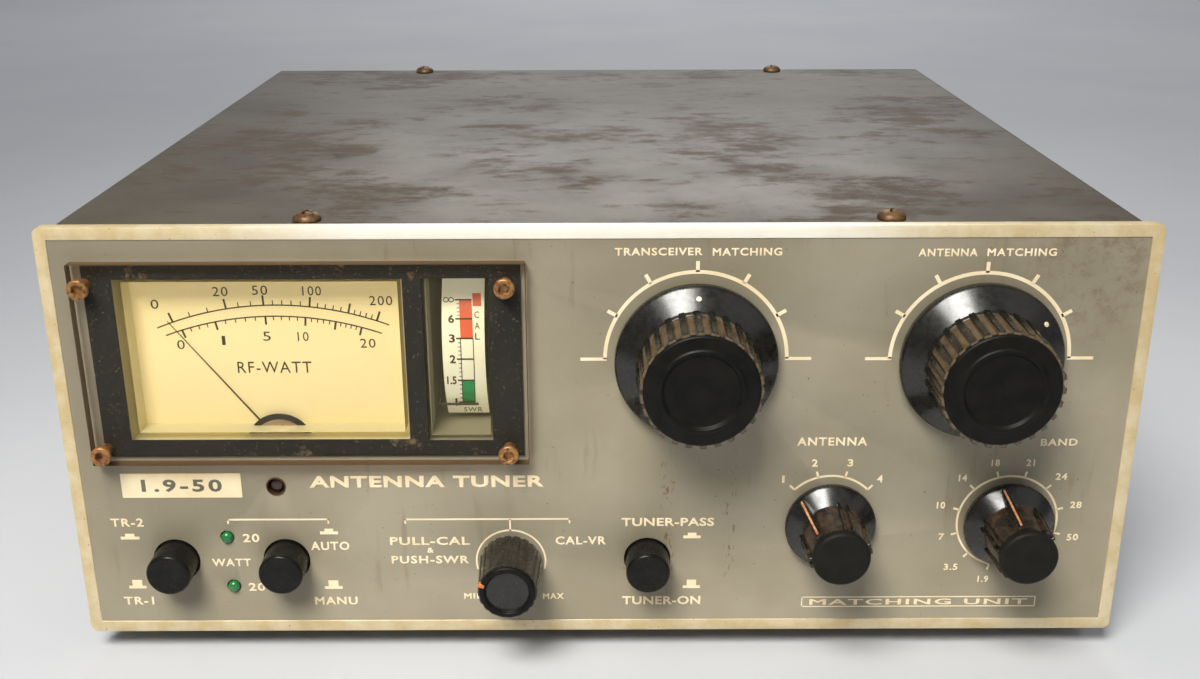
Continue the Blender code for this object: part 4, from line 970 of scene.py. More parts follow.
@dataclass(frozen=True)
class Phenolic(Finish):
    """Black moulding with brown grime down in its flutes.

    Attributes:
        axis: A place on the knob's axis, which runs along Y, in metres.
        ridge: Radius above which the moulding is clean, in millimetres.
        groove: Radius of the bottom of the flutes.
        grime: Colour of the grime.
        grimed: The grime's strength.
        front: Y of the knob's front face in metres.
        back: Y where the grip starts.
        bare: Noise below which the flutes are bare.
    """

    axis: tuple[float, float, float] = (0.0, 0.0, 0.0)
    ridge: float = 14.0
    groove: float = 13.3
    grime: Rgb = (112, 92, 66)
    grimed: float = 1.0
    front: float = 0.0
    back: float = 0.0
    bare: float = 0.4

    def tint(self, graph: Graph) -> tuple[Socket, Value]:
        """Lays grime where the surface is close to the bottom of the flutes, along the grip."""
        colour, soil = super().tint(graph)
        across, _, up = graph.axes(graph.about(self.axis))
        along = graph.axes(graph.place)[1]
        radius = (across * across + up * up).math("SQRT")
        low = radius.ease(self.ridge * MM, self.groove * MM)
        wall = radius.ease((self.groove - 1.1) * MM, (self.groove - 0.35) * MM)
        grip = along.ease(self.front, self.front + 1.2 * MM) * along.ease(self.back, self.back - MM)
        ragged = graph.noise(2.4, 6.0, 0.65).ease(self.bare, self.bare + 0.26)
        mask = low * wall * grip * ragged * self.grimed
        colour = graph.blend(mask, colour, self.grime)
        return colour, (soil + mask).math("MINIMUM", 1.0)


@dataclass(frozen=True)
class Pane:
    """A clear moulding that shows what is behind it.

    Attributes:
        name: The material's name.
        tint: What it lets through.
        gloss: Colour of what it scatters.
        body: How much it scatters when looked through squarely.
        edge: How much more it scatters at a glancing angle.
        dust: Strength of the dust on it.
        rough: Roughness of its reflection.
    """

    name: str
    tint: Rgb
    gloss: Rgb
    body: float = 0.03
    edge: float = 0.8
    dust: float = 0.15
    rough: float = 0.08

    def make(self) -> Look:
        """Makes the material."""
        graph = Graph(self.name)
        facing = Value(
            graph, graph.node("ShaderNodeLayerWeight", None, {"Blend": 0.25}).outputs["Fresnel"]
        )
        dust = graph.noise(0.7, 4.0, 0.7).ease(0.62, 0.75) * graph.noise(14.0, 3.0).ease(0.4, 0.7)
        share = (facing * self.edge + dust * self.dust + self.body).math("MINIMUM", 1.0)
        through = graph.node("ShaderNodeBsdfTransparent", None, {"Color": linear(self.tint)})
        gloss = graph.shader(
            {
                "Base Color": graph.blend(dust, self.gloss, (150, 140, 120)),
                "Roughness": self.rough + dust * 0.4,
                "IOR": 1.49,
            }
        )
        mixed = graph.node("ShaderNodeMixShader", None, {0: share, 1: through.outputs[0], 2: gloss})
        return graph.done(mixed.outputs[0])


# The front panel and the case --------------------------------------------------------------------


@dataclass
class FrontPanel:
    """The panel plate: bare champagne border round a painted face, with holes for all controls.

    Attributes:
        datum: The panel's middle.
        border: Width of the bare border.
        recess: How far the paint lies below the border.
        corner: Radius of the outer corners.
        watt_height: Height of the large meter's opening.
        play: Room round each meter in its opening.
    """

    datum: Datum
    border: float = 2.85
    recess: float = 0.22
    corner: float = 1.7
    watt_height: float = 41.4
    play: float = 0.3

    def holes(self) -> list[tuple[float, float, float]]:
        """Lists the round holes: x, z and radius."""
        radii = {
            "transceiver_knob": 3.4, "matching_knob": 3.4, "antenna_switch_body": 4.9,
            "band_switch_body": 4.9, "cal_potentiometer": 4.0, "transceiver_button": 5.6,
            "watt_button": 5.6, "tuner_button": 5.6, "low_range_lamp": 1.7, "high_range_lamp": 1.7,
            "pilot_lamp": 2.3,
        }
        return [(*self.datum.centre(node), radius) for node, radius in radii.items()]

    def make(self, paint: Look, metal: Look) -> None:
        """Makes the plate and cuts its face and holes."""
        low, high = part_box("front_panel")
        plate = add_block("panel_plate", low, high)
        with editing(plate, Mode.EDGE):
            pick(plate, Mode.EDGE, runs_back)
            bpy.ops.mesh.bevel(offset=self.corner * MM, segments=8)
        inset = Vector((self.border * MM, 0.0, self.border * MM))
        sunk_high = Vector((high.x, low.y + self.recess * MM, high.z)) - inset
        combine(plate, [add_block("face_cutter", low + inset - mm(0, 1, 0), sunk_high)])
        cutters = []
        for x, z, radius in self.holes():
            rod = add_rod("hole_cutter", radius, 8.0, 40)
            cutters.append(stand(rod, self.datum.at(x, 5.0, z), Facing.FRONT))
        play = self.play * MM
        for node in ("watt_meter_case", "swr_meter_case"):
            case_low, case_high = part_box(node)
            tall = self.watt_height * MM if node == "watt_meter_case" else case_high.z - case_low.z + 2 * play
            far = Vector((case_high.x + play, high.y + MM, case_high.z + play))
            near = Vector((case_low.x - play, low.y - MM, far.z - tall))
            cutters.append(add_block("window_cutter", near, far))
        combine(plate, cutters)
        bevel_edges(plate, 0.18, 2)
        dress(plate, metal, paint)
        edge = Vector((high.x, 0, high.z)) - inset

        def painted(face: bpy.types.MeshPolygon) -> bool:
            """Says if a face is on the painted ground."""
            middle = face.center
            inside = abs(middle.x) < edge.x and middle.z < edge.z and middle.z > low.z + inset.z
            return inside and middle.y > low.y + self.recess * MM * 0.8 and face.normal.y < -0.7

        paint_faces(plate, 1, painted)
        soften(plate)
        install(plate, "case", "panel_paint", "front_panel")


@dataclass
class Cover:
    """The bent sheet over the top and the sides, with its four dome screws.

    Attributes:
        sheet: Thickness of the sheet.
        bend: Outer radius of its two bends.
        screw_head: Radius of a screw's dome.
        screw_rise: Height of the dome.
    """

    sheet: float = 1.0
    bend: float = 1.8
    screw_head: float = 3.25
    screw_rise: float = 1.9

    def make(self, steel: Look, brass: Look) -> None:
        """Bends the sheet and sets its screws."""
        low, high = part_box("top_cover")
        cover = add_block("cover_sheet", low, high)
        with editing(cover, Mode.EDGE):
            pick(cover, Mode.EDGE, lambda e: runs_back(e) and e.verts[0].co.z > (low.z + high.z) / 2)
            bpy.ops.mesh.bevel(offset=self.bend * MM, segments=6)
        with editing(cover, Mode.FACE):
            pick(cover, Mode.FACE, lambda f: abs(f.normal.y) > 0.7 or f.normal.z < -0.7)
            bpy.ops.mesh.delete(type="FACE")
            bpy.ops.mesh.select_all(action="SELECT")
            bpy.ops.mesh.bisect(plane_co=(0, 0, 0), plane_no=(0, 1, 0), use_fill=False)
        thicken(cover, self.sheet)
        bevel_edges(cover, 0.22, 2)
        dress(soften(cover), steel)
        install(cover, "case", "cover_steel", "top_cover")
        for end in ("front", "rear"):
            for side in ("left", "right"):
                self.screw("cover_screw_" + end + "_" + side, brass)

    def screw(self, node: str, brass: Look) -> None:
        """Makes one dome-headed screw with a cross recess."""
        low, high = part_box(node)
        head, rise = self.screw_head, self.screw_rise
        profile = dome(head, rise) + [(head, -0.1), (1.5, -0.1), (1.5, -1.5), (0.0, -1.5)]
        screw = turn_profile("dome_" + node, profile, 36)
        cut_slots(screw, (-1.7, -0.34, rise - 0.9), (1.7, 0.34, 3.0), (20.0, 110.0))
        place = Vector(((low.x + high.x) / 2, (low.y + high.y) / 2, high.z - rise * MM))
        install(dress(soften(stand(screw, place, Facing.UP)), brass), "case", "cover_screw_brass", node)


class Feet:
    """Four turned rubber feet, each with a sunk screw."""

    def make(self, rubber: Look, steel: Look) -> None:
        """Makes the four feet."""
        body = [(0.0, 5.6), (9.0, 5.6), (8.2, 0.7), (7.5, 0.0), (3.4, 0.0), (3.2, 2.4), (0.0, 2.4)]
        for node in ("foot_" + end + "_" + side for end in ("front", "rear") for side in ("left", "right")):
            low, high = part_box(node)
            foot = turn_profile("rubber_" + node, body, 40, 0.5)
            head = turn_profile("foot_head", [(0.0, 1.3), (2.6, 1.3), (2.6, 2.6), (0.0, 2.6)], 24, 0.5)
            cut_slots(head, (-3, -0.35, 0), (3, 0.35, 1.8))
            whole = assemble("rubber_" + node, [(foot, 0), (head, 1)], [rubber, steel])
            stand(whole, Vector(((low.x + high.x) / 2, (low.y + high.y) / 2, low.z)), Facing.UP)
            install(soften(whole), "case", "foot_rubber", node)


# Printing on the panel ---------------------------------------------------------------------------


PanelWord = tuple[str, float, float, float, float, float]
PanelBar = tuple[float, float, float, float]


@dataclass
class PanelPrint:
    """The cream legends, scales and signs on the painted face.

    Attributes:
        datum: The panel's middle.
        depth: How far the print's ground lies behind the border's face.
        bold: How much the strokes of the small words are thickened.
    """

    datum: Datum
    depth: float = 0.2
    bold: float = 0.026

    def make(self, ink: Look, label: Look, dark: Look) -> None:
        """Prints the face, its name plate and the plate's dark letters."""
        sheet = PrintSheet("panel_print")
        self.tuning_scales(sheet)
        self.switch_scales(sheet)
        self.button_signs(sheet)
        self.calibration_signs(sheet)
        sheet.word("ANTENNA TUNER", -68.6, -13.1, -12.4, -9.3, 0.04, 1.1)
        sheet.word("MATCHING UNIT", 51.0, 104.2, -44.5, -42.9, 0.02)
        sheet.frame(49.0, 106.2, -45.1, -42.2, 0.28)
        self.place(sheet.make(), ink)
        plate = PrintSheet("name_plate", 0.12)
        plate.patch(-112.9, -84.6, -14.8, -8.5)
        self.place(plate.make(), label)
        letters = PrintSheet("name_plate_letters")
        letters.word("1.9-50", -108.2, -89.2, -13.3, -10.0, 0.03, 1.25)
        self.place(letters.make(), dark, 0.1)

    def place(self, thing: Thing, ink: Look, proud: float = 0.0) -> None:
        """Lays a print on the paint."""
        stand(thing, self.datum.at(0, self.depth - proud, 0), Facing.FRONT)
        install(dress(thing, ink), "case", "panel_paint")

    def words(self, sheet: PrintSheet, *rows: PanelWord) -> None:
        """Sets words: text, left, right, low, high and the letters' spacing."""
        for text, left, right, low, high, spacing in rows:
            sheet.word(text, left, right, low, high, self.bold, spacing)

    def bars(self, sheet: PrintSheet, *rows: PanelBar) -> None:
        """Draws thin lines from one place to another."""
        for row in rows:
            sheet.bar(*row, 0.42)

    def numbers(
        self, sheet: PrintSheet, place: tuple[float, float], radius: float, start: float,
        height: float, wide: float, names: dict[str, float],
    ) -> None:
        """Draws a switch's scale.

        Args:
            sheet: The print.
            place: The scale's centre.
            radius: The radius from which its short lines start.
            start: Where the first one is, in degrees clockwise from the top.
            height: Height of the figures.
            wide: Their width as a share of it.
            names: The figures, each with its distance from the centre.
        """
        for index, (name, reach) in enumerate(names.items()):
            turn = start + 30 * index
            sheet.tick(*place, radius, radius + 1.6, turn, 0.5)
            sheet.label(name, *round_at(*place, reach, turn), height, wide, self.bold)

    def tuning_scales(self, sheet: PrintSheet) -> None:
        """Draws the half circles round the two large knobs."""
        for x, z, radius, reach in ((21.9, 19.9, 20.7, 23.2), (86.5, 19.8, 20.4, 22.9)):
            sheet.arc(x, z, radius, -90, 90, 0.85)
            for turn in (-60, -30, 0, 30, 60):
                sheet.tick(x, z, radius, reach, turn, 0.85)
            sheet.bar(x - radius - 5.6, z, x - radius + 0.4, z, 0.75)
            sheet.bar(x + radius - 0.4, z, x + radius + 5.6, z, 0.75)
        self.words(
            sheet, ("TRANSCEIVER", 3.4, 22.9, 44.4, 46.2, 1.15), ("MATCHING", 25.1, 40.5, 44.3, 46.1, 1.15),
            ("ANTENNA", 70.7, 83.9, 44.0, 45.8, 1.15), ("MATCHING", 86.0, 101.4, 44.0, 45.8, 1.15),
        )

    def switch_scales(self, sheet: PrintSheet) -> None:
        """Draws the scales round the two pointer knobs."""
        self.words(
            sheet, ("ANTENNA", 46.0, 62.4, -1.9, 0.2, 1.15), ("BAND", 102.9, 111.5, -2.1, -0.3, 1.15)
        )
        sheet.arc(54.6, -21.9, 12.2, -45, 45, 0.5)
        places = {str(number): 16.1 for number in range(1, 5)}
        self.numbers(sheet, (54.6, -21.9), 12.2, -45, 1.9, 0.72, places)
        sheet.arc(97.0, -21.8, 11.9, -165, 105, 0.5, 72)
        bands = {
            "1.9": 16.2, "3.5": 17.4, "7": 15.8, "10": 16.6, "14": 16.2, "18": 15.9, "21": 15.9,
            "24": 16.6, "28": 16.6, "50": 16.8,
        }
        self.numbers(sheet, (97.0, -21.8), 11.9, -165, 1.75, 0.78, bands)

    def button_signs(self, sheet: PrintSheet) -> None:
        """Draws the words and signs beside the push buttons."""
        self.words(
            sheet, ("TR-2", -116.7, -108.9, -22.5, -20.3, 1.15), ("TR-1", -116.1, -108.8, -43.8, -41.6, 1.15),
            ("20", -85.6, -81.6, -26.8, -24.5, 1.15), ("200", -85.4, -79.2, -40.1, -37.9, 1.15),
            ("WATT", -93.6, -84.2, -33.3, -31.2, 1.15), ("AUTO", -69.5, -60.2, -29.0, -26.7, 1.15),
            ("MANU", -69.6, -59.2, -44.0, -41.8, 1.15), ("TUNER-PASS", 5.1, 27.2, -22.8, -20.6, 1.06),
            ("TUNER-ON", 5.3, 24.4, -44.2, -41.9, 1.06),
        )
        sheet.key_mark(-114.8, -110.3, -25.9, 0.75, 1.15)
        sheet.key_mark(-114.4, -110.2, -39.3, 1.6, 0.9)
        self.bars(
            sheet, (-88.9, -20.7, -64.6, -20.7), (-88.7, -20.5, -88.7, -21.8), (-64.8, -20.5, -64.8, -21.8)
        )
        sheet.key_mark(-67.0, -62.7, -24.7, 0.75, 1.1)
        sheet.key_mark(-66.9, -62.6, -39.6, 1.6, 0.95)
        sheet.key_mark(19.9, 24.1, -26.1, 0.75, 1.05)
        sheet.key_mark(20.0, 24.2, -39.7, 1.55, 0.95)

    def calibration_signs(self, sheet: PrintSheet) -> None:
        """Draws the scale and the words round the calibration knob."""
        self.words(
            sheet, ("PULL-CAL", -50.4, -31.3, -27.7, -25.5, 1.1), ("&", -41.6, -40.0, -29.8, -28.4, 1.15),
            ("PUSH-SWR", -50.3, -31.6, -32.7, -30.6, 1.15), ("CAL-VR", -10.7, 1.4, -27.7, -25.5, 1.15),
            ("MIN", -33.2, -28.2, -42.5, -40.9, 1.15), ("MAX", -14.0, -8.9, -42.6, -41.0, 1.15),
        )
        sheet.arc(-21.5, -32.1, 8.3, -105, 105, 0.42)
        self.bars(
            sheet, (-21.5, -24.1, -21.5, -20.7), (-46.7, -20.8, -7.1, -20.8), (-46.5, -20.6, -46.5, -21.9),
            (-7.3, -20.6, -7.3, -21.9),
        )


# Meters ------------------------------------------------------------------------------------------


def clear_case(
    name: str, node: str, low: Vector, rounding: float, wall: float, glass: float, looks: Looks, side: str
) -> None:
    """Makes a meter's clear case as a hollow box, open behind, with a clear front.

    Args:
        name: The piece's name.
        node: The CAD node it stands for.
        low: Its lowest corner in metres.
        rounding: Rounding of its front edges in millimetres.
        wall: Thickness of its sides.
        glass: Thickness of its front.
        looks: The meter's finishes.
        side: Name of its sides' finish.
    """
    _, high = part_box(node)
    case = add_block(name, low, high)
    with editing(case, Mode.EDGE):
        pick(case, Mode.EDGE, lambda e: (e.verts[0].co.y + e.verts[1].co.y) / 2 < low.y + MM)
        bpy.ops.mesh.bevel(offset=rounding * MM, segments=3)
    with editing(case, Mode.FACE):
        pick(case, Mode.FACE, lambda f: f.normal.y > 0.9)
        bpy.ops.mesh.inset(thickness=wall * MM)
        sink = (0, -(high.y - low.y - glass * MM), 0)
        bpy.ops.mesh.extrude_region_move(TRANSFORM_OT_translate={"value": sink})
    dress(case, looks[side], looks["clear"])
    paint_faces(case, 1, lambda face: abs(face.normal.y) > 0.9 and face.center.y < low.y + 2 * MM)
    install(soften(case), "case", "meter_housing", node)


@dataclass
class MeterWindow:
    """The acrylic plate with its black mask and four socket-headed screws.

    Attributes:
        datum: The panel's middle.
        margins: Clear edge left, right, above and below the mask.
        watt_opening: Left, right, low and high of the mask's large opening.
        swr_opening: The same of its small one.
    """

    datum: Datum
    margins: tuple[float, float, float, float] = (2.3, 1.2, 1.0, 1.1)
    watt_opening: tuple[float, float, float, float] = (-108.8, -44.1, 0.3, 39.3)
    swr_opening: tuple[float, float, float, float] = (-39.9, -24.8, 0.0, 39.4)

    def make(self, acrylic: Look, rim: Look, mask: Look, copper: Look) -> None:
        """Makes the plate, the mask and the screws."""
        low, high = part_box("meter_window")
        plate = add_block("window_plate", low, high, 0.35, 2)
        dress(soften(plate), acrylic, rim)
        paint_faces(plate, 1, lambda face: abs(face.normal.y) < 0.9)
        install(plate, "case", "window_acrylic", "meter_window")
        left, right, above, below = self.margins
        shrunk_low = Vector((low.x + left * MM, high.y + 0.03 * MM, low.z + below * MM))
        shrunk_high = Vector((high.x - right * MM, high.y + 0.2 * MM, high.z - above * MM))
        sheet = add_block("window_mask", shrunk_low, shrunk_high)
        cutters = []
        for x_low, x_high, z_low, z_high in (self.watt_opening, self.swr_opening):
            near, far = self.datum.at(x_low, -2, z_low), self.datum.at(x_high, 2, z_high)
            cutters.append(add_block("opening_cutter", near, far))
        dress(combine(sheet, cutters), mask)
        install(sheet, "case", "window_acrylic")
        for level in ("lower", "upper"):
            for side in ("left", "right"):
                self.screw("window_screw_" + level + "_" + side, copper)

    def screw(self, node: str, copper: Look) -> None:
        """Makes one socket-headed screw."""
        low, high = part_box(node)
        tall = 1.6
        profile = [(0.0, tall), (2.35, tall), (2.35, 0.0), (1.4, 0.0), (1.4, -4.0), (0.0, -4.0)]
        screw = turn_profile("socket_head_" + node, profile, 40, 0.45)
        hexagon = add_rod("hex_cutter", 1.35, 3.0, 6)
        combine(screw, [stand(hexagon, mm(0, 0, 0.5), Facing.UP, 12.0)])
        bevel_edges(screw, 0.08, 1, 60.0)
        place = Vector(((low.x + high.x) / 2, low.y + tall * MM, (low.z + high.z) / 2))
        dress(soften(stand(screw, place, Facing.FRONT)), copper)
        install(screw, "case", "window_screw_copper", node)


@dataclass
class WattMeter:
    """The large meter: clear case, yellow dial with its print, bridge and needle.

    Attributes:
        datum: The panel's middle.
        tall: Height of its clear case.
        upper: Centre and radius of the upper scale.
        lower: Centre and radius of the lower one.
    """

    datum: Datum
    tall: float = 40.8
    upper: tuple[float, float, float] = (-74.7, -40.7, 71.6)
    lower: tuple[float, float, float] = (-74.9, -44.1, 72.3)

    def make(self, looks: Looks) -> None:
        """Makes the meter's pieces."""
        low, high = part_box("watt_meter_case")
        front = Vector((low.x, low.y, high.z - self.tall * MM))
        clear_case("watt_clear_case", "watt_meter_case", front, 0.7, 2.0, 1.2, looks, "wall")
        low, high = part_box("watt_meter_dial")
        dial = add_block("watt_dial_plate", low, high, 0.12, 1)
        install(dress(soften(dial), looks["dial"]), "case", "meter_dial", "watt_meter_dial")
        self.print(looks["ink"])
        self.bridge(looks["enamel"], looks["copper"])
        self.needle(looks["ink"])

    def print(self, ink: Look) -> None:
        """Prints both power scales on the dial."""
        sheet = PrintSheet("watt_dial_print")
        for (x, z, radius), left, right in ((self.upper, -102.2, -48.6), (self.lower, -100.4, -50.4)):
            start = math.degrees(math.asin((left - x) / radius))
            end = math.degrees(math.asin((right - x) / radius))
            sheet.arc(x, z, radius, start, end, 0.3, 60)
        self.divide(sheet, self.upper, (-19.4, -9.0, -2.0, 6.45, 13.6, 19.0), (2, 2, 4, 4, 4), 2.4)
        self.divide(sheet, self.lower, (-17.4, -11.0, -1.7, 5.65, 11.2, 16.0), (3, 4, 4, 4, 4), -2.0)
        upper = (("0", -102.2, 31.2), ("20", -86.9, 34.2), ("50", -77.8, 34.5), ("100", -65.9, 34.3),
                 ("200", -50.2, 31.9))
        lower = (("0", -97.2, 21.3), ("1", -87.2, 22.3), ("5", -77.1, 23.3), ("10", -68.7, 23.2),
                 ("20", -53.8, 21.5))
        for name, x, z in upper + lower:
            sheet.label(name, x, z, 2.25, 0.78)
        sheet.word("RF-WATT", -84.6, -67.3, 14.2, 17.0)
        dial_front = self.datum.depths("watt_meter_dial")[0]
        stand(sheet.make(), self.datum.at(0, dial_front, 0), Facing.FRONT)
        install(dress(bpy.context.object, ink), "case", "meter_dial")

    def divide(
        self, sheet: PrintSheet, circle: tuple[float, float, float], turns: tuple[float, ...],
        counts: tuple[int, ...], reach: float,
    ) -> None:
        """Draws a scale's main and fine lines.

        Args:
            sheet: The print.
            circle: The scale's centre and radius.
            turns: Where its main lines are, in degrees.
            counts: How many fine lines stand between each two.
            reach: How far the main lines reach out, or in if below 0.
        """
        x, z, radius = circle
        for turn in turns:
            sheet.tick(x, z, radius, radius + reach, turn, 0.46)
        for first, second, count in zip(turns, turns[1:], counts):
            for index in range(1, count + 1):
                turn = first + (second - first) * index / (count + 1)
                sheet.tick(x, z, radius, radius + reach * 0.48, turn, 0.24)

    def bridge(self, enamel: Look, copper: Look) -> None:
        """Makes the pole bridge: a black disc with a worn bright boss over the pivot."""
        low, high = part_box("watt_meter_bridge")
        needle_low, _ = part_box("watt_meter_needle")
        x = (low.x + high.x) / 2
        z = needle_low.z + 1.0 * MM
        disc = turn_profile("pole_bridge", [(0.0, 0.5), (8.0, 0.5), (8.0, 0.0), (0.0, 0.0)], 64, 0.15)
        bulge = [(0.0, 0.75), (5.0, 0.62), (6.7, 0.5), (6.7, 0.3), (0.0, 0.3)]
        boss = turn_profile("pole_boss", bulge, 48, 0.2)
        whole = assemble("pole_bridge", [(disc, 0), (boss, 1)], [enamel, copper])
        stand(whole, Vector((x, low.y + 0.5 * MM, z)), Facing.FRONT)
        with editing(whole, Mode.FACE):
            bpy.ops.mesh.select_all(action="SELECT")
            bpy.ops.mesh.bisect(plane_co=low, plane_no=(0, 0, -1), use_fill=True, clear_outer=True)
        install(soften(whole), "case", "meter_metal", "watt_meter_bridge")

    def needle(self, ink: Look) -> None:
        """Makes the tapered needle from its hub to its tip."""
        low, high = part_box("watt_meter_needle")
        tail = Vector((high.x - 1.0 * MM, (low.y + high.y) / 2, low.z + 1.0 * MM))
        tip = Vector((low.x, (low.y + high.y) / 2, high.z))
        run = tip - tail
        drop_selection()
        bpy.ops.mesh.primitive_cylinder_add(
            vertices=8, radius=0.26 * MM, depth=run.length, location=(0, 0, run.length / 2)
        )
        needle = settle(named("power_needle"))
        with editing(needle, Mode.VERT):
            pick(needle, Mode.VERT, lambda v: v.co.z > run.length / 2)
            bpy.ops.transform.resize(value=(0.35, 0.35, 1.0), center_override=(0, 0, 0))
        hub = turn_profile("hub", [(0.0, 0.15), (1.0, 0.15), (1.0, -0.15), (0.0, -0.15)], 24)
        stand(hub, tail, Facing.FRONT)
        needle.matrix_world = Matrix.Translation(tail) @ run.to_track_quat("Z", "Y").to_matrix().to_4x4()
        settle(needle)
        needle = gather("power_needle", [needle, hub])
        install(soften(dress(needle, ink)), "watt_pointer", "needle_paint", "watt_meter_needle")


@dataclass
class RatioMeter:
    """The edgewise meter: deep clear case, curved scale and its cross-bar pointer.

    Attributes:
        datum: The panel's middle.
        radius: Radius of the curved scale.
        slope_up: How steeply the user looks down at the meter.
        slope_side: How far they look aside at it.
    """

    datum: Datum
    radius: float = 26.5
    slope_up: float = 0.375
    slope_side: float = 0.11

    def make(self, looks: Looks) -> None:
        """Makes the meter's pieces."""
        low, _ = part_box("swr_meter_case")
        clear_case("ratio_clear_case", "swr_meter_case", low, 0.6, 1.2, 1.2, looks, "dull wall")
        self.ribs(looks["dull wall"])
        self.scale(looks["cream"])
        self.print(looks)
        self.pointer(looks["ink"])

    def ribs(self, wall: Look) -> None:
        """Stands moulded ribs along the left wall inside the case."""
        low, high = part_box("swr_meter_case")
        ribs = []
        for index in range(5):
            y = low.y + (1.8 + index * 1.3) * MM
            near = Vector((low.x + 1.1 * MM, y, low.z + 1.5 * MM))
            far = Vector((low.x + 1.55 * MM, y + 0.5 * MM, high.z - 1.5 * MM))
            ribs.append(add_block("ratio_rib", near, far, 0.12, 1))
        install(dress(gather("ratio_case_ribs", ribs), wall), "case", "meter_housing")

    def scale(self, cream: Look) -> None:
        """Bends the scale's blank strip."""
        low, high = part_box("swr_meter_dial")
        strip = add_block("ratio_scale", low, high)
        with editing(strip, Mode.EDGE):
            pick(strip, Mode.EDGE, lambda e: abs(e.verts[0].co.z - e.verts[1].co.z) > MM)
            bpy.ops.mesh.subdivide(number_cuts=24)
        middle = (low + high) / 2
        for vertex in strip.data.vertices:
            up = (vertex.co.z - middle.z) / MM
            back = 0.5 if vertex.co.y > middle.y else 0.0
            depth = self.radius - math.sqrt(self.radius**2 - up**2) + back
            vertex.co.y = low.y + depth * MM
        install(soften(dress(strip, cream)), "case", "meter_dial", "swr_meter_dial")

    def curve(self, thing: Thing) -> Thing:
        """Lays a flat print on the curved scale, so that it looks straight from the front."""
        low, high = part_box("swr_meter_dial")
        middle = (low.z + high.z) / 2
        for vertex in thing.data.vertices:
            place = vertex.co
            depth = 0.0
            for _ in range(4):
                up = (place.z - middle) / MM - depth * self.slope_up
                depth = self.radius - math.sqrt(self.radius**2 - up**2)
            proud = (place.y - low.y) / MM
            place.z = middle + up * MM
            place.x -= depth * self.slope_side * MM
            place.y = low.y + (depth + proud) * MM
        return thing

    def print(self, looks: Looks) -> None:
        """Prints the scale: figures, lines, a red and a green band and a calibration mark."""
        low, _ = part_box("swr_meter_dial")
        front = (low.y - self.datum.face_y) / MM
        black = PrintSheet("ratio_print")
        marks = (("8", 33.0), ("6", 28.3), ("3", 23.5), ("2", 18.4), ("1.5", 13.1), ("1", 7.5))
        for name, z in marks:
            black.bar(-33.0, z, -29.1, z, 0.36)
            if name != "8":
                wide = 2.2 if name == "1.5" else 0.5 if name == "1" else 1.35
                black.word(name, -33.3 - wide, -33.3, z - 1.0, z + 1.0, 0.025, 1.0)
        black.arc(-35.0, 33.0, 0.55, 0, 360, 0.2, 16)
        black.arc(-33.8, 33.0, 0.55, 0, 360, 0.2, 16)
        fine = (32.0, 31.0, 30.0, 29.2, 22.4, 21.4, 20.4, 19.4, 17.3, 16.2, 15.2, 14.1, 12.0, 10.9, 9.7, 8.6)
        for z in fine:
            black.bar(-32.6, z, -32.0, z, 0.16)
        black.bar(-32.0, 23.5, -32.0, 7.4, 0.2)
        black.bar(-29.1, 23.5, -29.1, 7.4, 0.2)
        for letter, z in (("C", 29.3), ("A", 26.6), ("L", 24.0)):
            black.word(letter, -28.6, -27.5, z - 0.8, z + 0.8)
        black.word("SWR", -31.8, -27.4, 4.9, 6.1)
        red = PrintSheet("ratio_red_band")
        red.patch(-32.0, -29.1, 23.6, 33.0)
        red.patch(-28.9, -26.9, 31.4, 34.6)
        green = PrintSheet("ratio_green_band")
        green.patch(-32.0, -29.1, 7.6, 13.0)
        for sheet, look in ((red, "red"), (green, "green"), (black, "ink")):
            flat = sheet.make()
            with editing(flat, Mode.EDGE):
                pick(flat, Mode.EDGE, lambda e: abs(e.verts[0].co.y - e.verts[1].co.y) > 2 * MM)
                bpy.ops.mesh.subdivide(number_cuts=8)
            proud = 0.04 if look == "ink" else 0.0
            stand(flat, self.datum.at(0, front - proud, 0), Facing.FRONT)
            install(dress(self.curve(flat), looks[look]), "case", "meter_dial")

    def pointer(self, ink: Look) -> None:
        """Makes the pointer: a bar across the scale on an arm that swings about the hub."""
        low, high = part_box("swr_meter_needle")
        case_low, case_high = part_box("swr_meter_case")
        hub = Vector((low.x + 0.4 * MM, high.y - 1.4 * MM, (case_low.z + case_high.z) / 2))
        tip = Vector((low.x + 0.4 * MM, low.y, low.z))
        end = Vector((high.x, low.y + 0.5 * MM, low.z + 0.55 * MM))
        bar = add_block("ratio_pointer_bar", tip, end, 0.08, 1)
        arm = strut("ratio_pointer_arm", hub, tip, 0.8, 0.5)
        boss = turn_profile("ratio_hub", [(0, 0.8), (1.4, 0.8), (1.4, -0.8), (0, -0.8)], 24, 0.2)
        boss.rotation_euler = (0, math.pi / 2, 0)
        boss.location = hub
        settle(boss)
        whole = gather("ratio_pointer", [bar, arm, boss])
        install(soften(dress(whole, ink)), "swr_pointer", "needle_paint", "swr_meter_needle")


# Knobs and buttons -------------------------------------------------------------------------------


